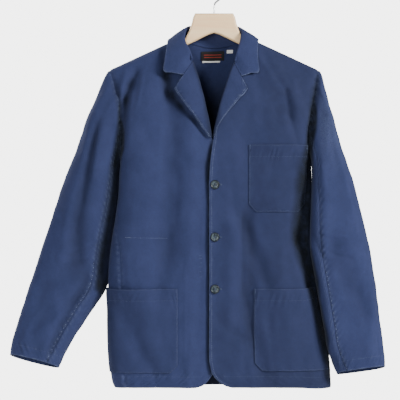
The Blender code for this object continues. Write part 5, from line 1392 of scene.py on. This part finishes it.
def makeLapel(label, side, seed):
    table = finerRows(lapels[label], lapels["rows"])
    rolls, edges, standOff = table[:, 0:2], table[:, 2:4], table[:, 4]
    grid = []
    for share in cellShares(0.055, 0.0025, 0.0012, 0.0011, 0.004):
        flat = rolls + (edges - rolls) * share
        grid.append(overFront(flat[:, 0], flat[:, 1], standOff, share, side))
    rolled = []
    for angle in (0.0, 0.5, 1.0):
        points = grid[0].copy()
        points[:, 0] -= side * lapels["roll"] * math.cos(angle)
        points[:, 1] += lapels["tuck"][label] * (1.0 - angle * 0.85)
        rolled.append(points)
    points = drawIn(np.array(rolled + grid).transpose(1, 0, 2), lastRow=lapels["topGap"])
    piece = newCloth(points, gridNormals(points, side))
    sewEdge(piece, "lastColumn", seed, inset=lapels["stitch"], wearAndHighlight=0.75, wearWidth=0.0014)
    before = piece["wearAndHighlight"].copy()
    sewEdge(piece, "lastRow", seed + 1, inset=lapels["stitch"], groove=0.0001, swell=0.0002,
            wearAndHighlight=0.8, wearWidth=0.001)
    beyond = ease((piece["across"] / piece["across"][:, -1:] - lapels["notch"]) / 0.12)
    piece["wearAndHighlight"] = before + (piece["wearAndHighlight"] - before) * beyond
    # painted shade over the whole lapel, and more by its roll line
    top, bottom = lapels["rollReach"]
    lower = ease((lapels["reachFrom"] - piece["points"][..., 2]) / lapels["reachFull"])
    shade = np.exp(-(piece["across"] / (top + (bottom - top) * lower))**2)
    piece["paintedShade"] += lapels["tone"] + lapels["rollShade"][label] * shade
    stitchLine(piece, "lastColumn", lapels["stitch"], end=0.004, kind="wornLines")
    finishCloth(f"lapel{label.capitalize()}Cloth", f"lapel_{label}", piece)


makeCollar()
makeLapel("right", -1, 81)
makeLapel("left", 1, 85)
print("collar and lapels made")

# the pockets
pockets = {
    "band": 0.025, "stitch": 0.0022, "mouthDepth": 0.06, "toneFrom": 0.195, "toneReach": 0.025,
    "chest": {"inner": 0.0748, "outer": 0.2022, "top": -0.352, "bottom": -0.4965,
              "corner": 0.017, "slant": 0.0055, "gap": 0.0004, "tone": 0.31, "sideTone": 0.0,
              "gape": 0.002, "penSlot": 0.1386},
    "left": {"inner": 0.0869, "top": -0.664, "bottom": -0.84, "corner": 0.0165, "wrap": 0.84,
             "gap": 0.0013, "gape": 0.0015, "tone": 0.27, "sideTone": 0.0},
    "right": {"inner": -0.0792, "top": -0.664, "bottom": -0.845, "corner": 0.0165,
              "wrap": 1.03, "gap": 0.0013, "gape": 0.006, "tone": 0.12, "sideTone": 0.16},
    "chestCut": (0.13, 0.17), "hipCut": (0.185, 0.207),
    # x, z and pocket of the bar tacks at the mouths' corners
    "tacks": ((0.0775, -0.353, "chest"), (0.199, -0.353, "chest"), (0.0895, -0.665, "left"),
              (-0.0818, -0.665, "right"))}


def overCloth(size):
    # how far a pocket's middle stands off the front's
    return (cloth["thick"] + cloth["pocketThick"]) / 2 + size["gap"]


def pocketGrid(size, side):
    height = size["top"] - size["bottom"]
    edge = cloth["edgeCell"]
    z = size["bottom"] + height * cellShares(height, 0.003, edge, edge, 0.005)
    across = cellShares(0.14, 0.003, edge, edge, 0.005)
    cut = np.clip((size["bottom"] + size["corner"] - z) / size["corner"], 0, 1) * size["corner"]
    if "outer" in size:
        inner = size["inner"] + cut
        outer = size["outer"] - cut - size["slant"] * (size["top"] - z) / height
        x = inner[:, None] + (outer - inner)[:, None] * across[None, :]
        high = z[:, None] + np.zeros_like(x)
        turn = turnAt(x, high)
    else:
        inner = turnAt(size["inner"] + side * cut, z)
        turn = inner[:, None] + (side * size["wrap"] - inner)[:, None] * across[None, :]
        high = z[:, None] + np.zeros_like(turn)
    nearMouth = ease(1.0 - (size["top"] - z) / pockets["mouthDepth"])
    gape = size["gape"] * nearMouth[:, None] * np.sin(across * math.pi)[None, :]
    return layOnBody(turn, high, -1, overCloth(size) + gape)


def makePocket(label, seed):
    size = pockets[label]
    side = -1 if label == "right" else 1
    points, normals = pocketGrid(size, side)
    piece = newCloth(points, normals, cloth["pocketThick"])
    inset = pockets["stitch"]
    edges = ["firstColumn", "firstRow"] + (["lastColumn"] if "outer" in size else [])
    for order, edge in enumerate(edges):
        sewEdge(piece, edge, seed + order, inset=inset, swell=0.0002, size=0.01, reach=0.005,
                wearAndHighlight=0.15, wearWidth=0.001)
    sewEdge(piece, "lastRow", seed + 3, inset=pockets["band"], groove=0.0005, swell=0.0003,
            pucker=0.0006, size=0.01, reach=0.012, wearAndHighlight=0.14, wearWidth=0.0012)
    # painted shade over the pocket, more towards the side, and in its closed fold
    outer = ease((np.abs(piece["points"][..., 0]) - pockets["toneFrom"]) / pockets["toneReach"])
    piece["paintedShade"] += size["tone"] + size["sideTone"] * outer
    paintCreviceShade(piece, "frontLeft" if side > 0 else "frontRight")
    for edge in edges:
        stitchLine(piece, edge, inset, start=0.0 if edge == "firstRow" else 0.001)
    mouthEnd = inset if "outer" in size else 0.0
    stitchLine(piece, "lastRow", pockets["band"], start=inset, end=mouthEnd)
    if "penSlot" in size:
        line = [(size["penSlot"], size["top"] - below) for below in (0.002, 0.031)]
        piece["lines"].append(lineOnBody(line, overCloth(size) + size["gape"] + 0.0007))
    finishCloth(f"pocket{label.capitalize()}Cloth", f"pocket_{label}", piece)


makePocket("chest", 91)
makePocket("left", 95)
makePocket("right", 99)


def barTack(x, z, length, lift, wayX=0.0, wayZ=1.0):
    # close stitches laid square to a short line
    line, out, _ = lineOnBody(((x, z), (x + wayX * length, z - wayZ * length)), lift, 0.0015)
    lay = unit(np.tile(np.array((wayZ, 0.0, wayX + 0.15)), (len(line), 1)))
    return line, out, lay


tacks = []
for x, z, label in pockets["tacks"]:
    lift = overCloth(pockets[label]) + cloth["pocketThick"] / 2 + 0.0002
    tacks.append(barTack(x, z, 0.008, lift))
# the inner pocket behind the right front shows by one row of stitches, tacked at its end
innerStart, innerEnd, innerLift = (-0.1914, -0.5522), (-0.1034, -0.554), cloth["thick"] / 2 + 0.0001
tacks.append(barTack(*innerStart, 0.012, innerLift, 1.0, 0.0))
# short stitches over a few even puckers beside the front edge
for z in (-0.5915, -0.5985, -0.6075, -0.6165, -0.6265, -0.6375):
    row = lineOnBody(((-0.0375, z), (-0.0275, z + 0.0004)), cloth["thick"] / 2 + 0.0002)
    row[0][:, 1] += body["overlapStep"]
    tacks.append(row)
barTacks = sewLines("barTacks", tacks, tackStitch)
innerPocket = sewLines("innerPocketStitches", [lineOnBody((innerStart, innerEnd), innerLift)],
                       wornStitch, wornThread)
for sewn in (barTacks, innerPocket):
    declare(sewn)
print("pockets made")

# the labels inside the neck
labels = {
    "neck": {"left": -0.0286, "right": 0.0225, "top": -0.1412, "bottom": -0.1607, "gap": 0.0013},
    "care": {"left": -0.0262, "right": 0.0135, "top": -0.1619, "bottom": -0.1647, "gap": 0.0013},
    "size": {"left": 0.029, "right": 0.042, "top": -0.1385, "bottom": -0.145, "gap": 0.0006},
    "cell": 0.0009, "tilt": 0.03}


def labelGrid(size):
    middle = (size["left"] + size["right"]) / 2
    columns, rows = (max(int(span / labels["cell"]), 2)
                     for span in (size["right"] - size["left"], size["top"] - size["bottom"]))
    x = np.linspace(size["left"], size["right"], columns)[None, :]
    z = np.linspace(size["bottom"], size["top"], rows)[:, None]
    x, z = np.broadcast_arrays(x, z)
    z = z + labels["tilt"] * (x - middle)
    distance = -np.full(x.shape, (cloth["thick"] + cloth["labelThick"]) / 2 + size["gap"])
    points, normals = layOnBody(turnAt(x, z), z, 1, distance)
    return points, -normals


def makeLabel(name, node, size, material):
    points, normals = labelGrid(size)
    piece = newCloth(points, normals, cloth["labelThick"])
    joinEdge(piece, "lastRow", 7, dip=0.0002, reach=0.001, pucker=0.0, wearAndHighlight=0.0)
    # a tab that is shorter than the shortest side is stated with that side
    finishCloth(name, node, piece, material)


makeLabel("neckLabelCloth", "neck_label", labels["neck"], labelCloth)
makeLabel("careTabCloth", "care_tab", labels["care"], tabCloth)
makeLabel("sizeTabCloth", "size_tab", labels["size"], tabCloth)
print("labels made")

# the buttons and their holes
buttons = {
    "x": 0.0014, "zs": {"top": -0.4378, "middle": -0.5511, "bottom": -0.6635}, "radius": 0.0098,
    "thick": 0.0034, "sides": 64, "rimFrom": 0.74, "rimReach": 0.14, "holeRadius": 0.00105,
    "holePlace": 0.0024, "threadWidth": 0.0007,
    # share of the radius, share of the thickness, from the back's middle to the face's
    "profile": (
        (0.0, 0.0), (0.78, 0.0), (0.9, 0.08), (0.97, 0.22), (1.0, 0.42), (1.0, 0.58), (0.975, 0.8),
        (0.93, 0.94), (0.88, 1.0), (0.82, 0.99), (0.76, 0.9), (0.7, 0.8), (0.62, 0.745),
        (0.45, 0.72), (0.0, 0.72)),
    "hole": {"start": -0.004, "end": 0.016, "halfHeight": 0.0009}}


def buttonSeat(z):
    spots = [bodyPoint(turnAt(np.array(x), np.array(z)), np.array(z), -1)[1]
             for x in (buttons["x"], buttons["x"] + buttons["radius"])]
    return min(spots) - cloth["thick"] / 2 - 2 * cloth["layGap"]


def newMesh(name, work):
    # the mesh that was worked on, which is then done with
    mesh = bpy.data.meshes.new(name)
    work.to_mesh(mesh)
    work.free()
    return mesh


def roundOff(mesh, angle):
    mesh.shade_smooth()
    mesh.set_sharp_from_angle(angle=angle)


def turnedDisc(name, z, seatY):
    # a lathe-turned disc with four holes drilled through it
    radius, thick, sides = buttons["radius"], buttons["thick"], buttons["sides"]
    work = bmesh.new()
    # how far out each ring lies, for the dark rim that is partly painted shade
    rimLayer = work.verts.layers.float.new("rim")
    rings = []
    for share, depth in buttons["profile"]:
        y = seatY - thick * depth
        if share == 0.0:
            rings.append([work.verts.new((buttons["x"], y, z))])
            continue
        rings.append([work.verts.new((buttons["x"] + radius * share * math.cos(a), y,
                                      z + radius * share * math.sin(a)))
                      for a in (2 * math.pi * k / sides for k in range(sides))])
        for vertex in rings[-1]:
            vertex[rimLayer] = float(ease((share - buttons["rimFrom"]) / buttons["rimReach"]))
    for lower, upper in zip(rings, rings[1:]):
        for k in range(sides):
            n = (k + 1) % sides
            if len(lower) == 1:
                work.faces.new((lower[0], upper[k], upper[n]))
            elif len(upper) == 1:
                work.faces.new((lower[k], upper[0], lower[n]))
            else:
                work.faces.new((lower[k], upper[k], upper[n], lower[n]))
    bmesh.ops.recalc_face_normals(work, faces=work.faces)
    disc = place(name, newMesh(name, work), horn)
    drills = bmesh.new()
    laid = Vector((0, 0, 1)).rotation_difference(Vector((0, 1, 0))).to_matrix()
    away = buttons["holePlace"] / math.sqrt(2)
    for sideX, sideZ in ((-1, -1), (-1, 1), (1, -1), (1, 1)):
        made = bmesh.ops.create_cone(drills, cap_ends=True, segments=20, depth=3 * thick,
                                     radius1=buttons["holeRadius"], radius2=buttons["holeRadius"])
        bmesh.ops.rotate(drills, verts=made["verts"], cent=(0, 0, 0), matrix=laid)
        bmesh.ops.translate(drills, verts=made["verts"],
                            vec=(buttons["x"] + sideX * away, seatY, z + sideZ * away))
    cutter = place(name + "Drills", newMesh(name + "Drills", drills))
    drilled = disc.modifiers.new("holes", "BOOLEAN")
    drilled.operation = "DIFFERENCE"
    drilled.solver = "EXACT"
    drilled.object = cutter
    made = meshOf(disc)
    disc.modifiers.remove(drilled)
    bpy.data.objects.remove(cutter, do_unlink=True)
    disc.data = made
    roundOff(made, 0.6)
    return disc


def holeStitches(z):
    # the worked buttonhole: close stitches square to the slit, on both sides of it
    size = buttons["hole"]
    lines = []
    for side in (-1, 1):
        x = np.linspace(size["start"], size["end"], 40)
        high = np.full_like(x, z + side * size["halfHeight"])
        lift = np.full_like(x, cloth["thick"] / 2 + 0.0002)
        lay = np.tile(np.array((0.12 * side, 0.0, 1.0)), (len(x), 1))
        lines.append((*layOnBody(turnAt(x, high), high, -1, lift), unit(lay)))
    return lines


def threadBars(z, seatY):
    # the strands that hold the button, side by side between the holes
    away = buttons["holePlace"] / math.sqrt(2)
    x = np.linspace(buttons["x"] - away, buttons["x"] + away, 8)
    y = seatY - buttons["thick"] * 0.76 + 0.0009 - 0.0009 * np.sin(np.linspace(0, math.pi, 8))
    out = np.tile(np.array((0.0, -1.0, 0.0)), (8, 1))
    lines = []
    for side in (-1, 1):
        for strand in (-0.45, 0.0, 0.45):
            high = np.full_like(x, z + side * away + strand * buttons["threadWidth"])
            lines.append((np.stack((x, y, high), axis=1), out, None))
    return lines


for label, z in buttons["zs"].items():
    seatY = buttonSeat(z)
    declare(turnedDisc(f"button{label.capitalize()}Horn", z, seatY), f"button_{label}")
    bars = sewLines(f"button{label.capitalize()}Thread", threadBars(z, seatY), barStitch)
    slit = sewLines(f"buttonhole{label.capitalize()}", holeStitches(z), holeStitch)
    for sewn in (bars, slit):
        declare(sewn)
print("buttons made")

# the hanger and its hook
hanger = {
    "halfThick": 0.007, "bevel": 0.006, "bevelSteps": 8, "topZ": -0.0605, "gap": 0.0019,
    "underZ": -0.1012, "underSlope": 0.494, "armX": 0.09, "tipX": 0.207, "tipReach": 0.7,
    "underXs": (0.207, 0.14, 0.07, 0.03),
    "peak": ((0.012, 0.006), (0.0, 0.0022), (-0.012, 0.006)),
    "shoulder": (
        (0.042, -0.0605), (0.0462, -0.069), (0.0495, -0.0836), (0.055, -0.099), (0.063, -0.114))}
hook = {"wire": 0.002, "inside": 0.016, "tipTurn": 208.0, "leaveTurn": -52.0, "shankZ": -0.045,
        "swing": (0.009, 0.007), "depth": 0.02}


def boardOutline():
    # round one half of the board from the hook's seat, and back along the other
    armXs = np.linspace(hanger["armX"], hanger["tipX"], 12)
    upper = list(hanger["shoulder"]) + [(x, float(ridge(x)) - hanger["gap"]) for x in armXs]
    lower = [(x, hanger["underZ"] - hanger["underSlope"] * x) for x in hanger["underXs"]]
    radius = (upper[-1][1] - lower[0][1]) / 2
    turns = math.pi / 2 - math.pi * np.linspace(0.1, 0.9, 9)
    tip = [(hanger["tipX"] + radius * hanger["tipReach"] * math.cos(turn),
            upper[-1][1] - radius + radius * math.sin(turn)) for turn in turns]
    half = upper + tip + lower
    peak = [(x, hanger["underZ"] - below) for x, below in hanger["peak"]]
    return half + peak + [(-x, z) for x, z in reversed(half)]


def makeHanger():
    work = bmesh.new()
    outline = [work.verts.new((x, -hanger["halfThick"], z)) for x, z in boardOutline()]
    made = bmesh.ops.extrude_face_region(work, geom=[work.faces.new(outline)])
    moved = [item for item in made["geom"] if isinstance(item, bmesh.types.BMVert)]
    bmesh.ops.translate(work, verts=moved, vec=(0.0, 2 * hanger["halfThick"], 0.0))
    bmesh.ops.recalc_face_normals(work, faces=work.faces)
    rims = [edge for edge in work.edges if abs(edge.verts[0].co.y - edge.verts[1].co.y) < 1e-6]
    bmesh.ops.bevel(work, geom=rims, offset=hanger["bevel"], offset_type="OFFSET",
                    segments=hanger["bevelSteps"], profile=0.5, affect="EDGES", clamp_overlap=True)
    mesh = newMesh("hangerBoard", work)
    roundOff(mesh, 0.6)
    declare(place("hangerBoard", mesh, birch), "hanger")


def makeHook():
    radius = hook["inside"] + hook["wire"]
    turns = np.radians(np.linspace(hook["tipTurn"], hook["leaveTurn"], 60))
    route = np.stack((radius * np.cos(turns), 0.0 * turns,
                      radius * np.sin(turns) - hook["inside"]), axis=1)
    reach, rise = hook["swing"]
    onward = np.array((math.sin(turns[-1]), 0.0, -math.cos(turns[-1]))) * reach
    shank = np.array((0.0, 0.0, hook["shankZ"]))
    above = shank + np.array((0.0, 0.0, rise))
    route = np.concatenate((route, bend(route[-1], route[-1] + onward, above, shank, 20)[1:],
                            [(0.0, 0.0, hanger["topZ"] - hook["depth"])]))
    curve = bpy.data.curves.new("hookWire", "CURVE")
    curve.dimensions = "3D"
    curve.bevel_depth = hook["wire"]
    curve.bevel_resolution = 7
    curve.use_fill_caps = True
    spline = curve.splines.new("POLY")
    spline.points.add(len(route) - 1)
    for point, spot in zip(spline.points, route):
        point.co = (*spot, 1.0)
    maker = place("hookWireMaker", curve)
    mesh = meshOf(maker)
    bpy.data.objects.remove(maker, do_unlink=True)
    roundOff(mesh, 0.9)
    declare(place("hookWire", mesh, wire), "hook")


makeHanger()
makeHook()
print("hanger made")

# the floor, the light and the camera
studio = {
    "floorZ": -1.35, "floorRadius": 2.0, "floor": (0.8, 0.8, 0.79, 1.0),
    "sky": (0.93, 0.95, 0.97, 1.0), "skyStrength": 0.36, "backdrop": (0.98, 0.98, 0.97, 1.0),
    "backdropStrength": 5.0,
    # place, what it points at, width, height, power
    "lamps": {"key": ((2.7, -1.9, 0.9), (0.0, 0.0, -0.45), 1.1, 1.1, 172.0),
              "fill": ((-0.9, -3.4, 0.0), (0.0, 0.0, -0.35), 1.0, 1.0, 60.0),
              "rim": ((-2.6, 1.35, 0.9), (0.0, 0.0, -0.45), 1.2, 1.1, 118.0)},
    "camera": (-0.031, -2.8, -0.471), "lens": 114.5}


def makeStudio():
    work = bmesh.new()
    bmesh.ops.create_circle(work, cap_ends=True, segments=96, radius=studio["floorRadius"])
    bmesh.ops.translate(work, verts=work.verts, vec=(0.0, 0.0, studio["floorZ"]))
    material, _, sockets = newFinish("floorPaint", 0.7)
    sockets["Base Color"].default_value = studio["floor"]
    place("floor", newMesh("floor", work), material)
    sky = bpy.data.worlds.new("sky")
    sky.use_nodes = True
    tree = sky.node_tree
    ambient, seen = tree.nodes["Background"], addNode(tree, "ShaderNodeBackground")
    for node, label in ((ambient, "sky"), (seen, "backdrop")):
        node.inputs["Color"].default_value = studio[label]
        node.inputs["Strength"].default_value = studio[label + "Strength"]
    forCamera = addNode(tree, "ShaderNodeLightPath").outputs["Is Camera Ray"]
    either = addNode(tree, "ShaderNodeMixShader",
                     {0: forCamera, 1: ambient.outputs[0], 2: seen.outputs[0]})
    join(tree, either.outputs[0], tree.nodes["World Output"].inputs["Surface"])
    bpy.context.scene.world = sky
    for label, (spot, target, width, height, power) in studio["lamps"].items():
        light = bpy.data.lights.new(label, "AREA")
        light.shape = "RECTANGLE"
        light.size, light.size_y, light.energy = width, height, power
        lamp = place(label, light)
        lamp.location = spot
        lamp.rotation_euler = (Vector(target) - Vector(spot)).to_track_quat("-Z", "Y").to_euler()
    lens = bpy.data.cameras.new("camera")
    lens.lens = studio["lens"]
    camera = place("camera", lens)
    camera.location = studio["camera"]
    camera.rotation_euler = (math.pi / 2, 0.0, 0.0)
    bpy.context.scene.camera = camera


makeStudio()
print("studio made")
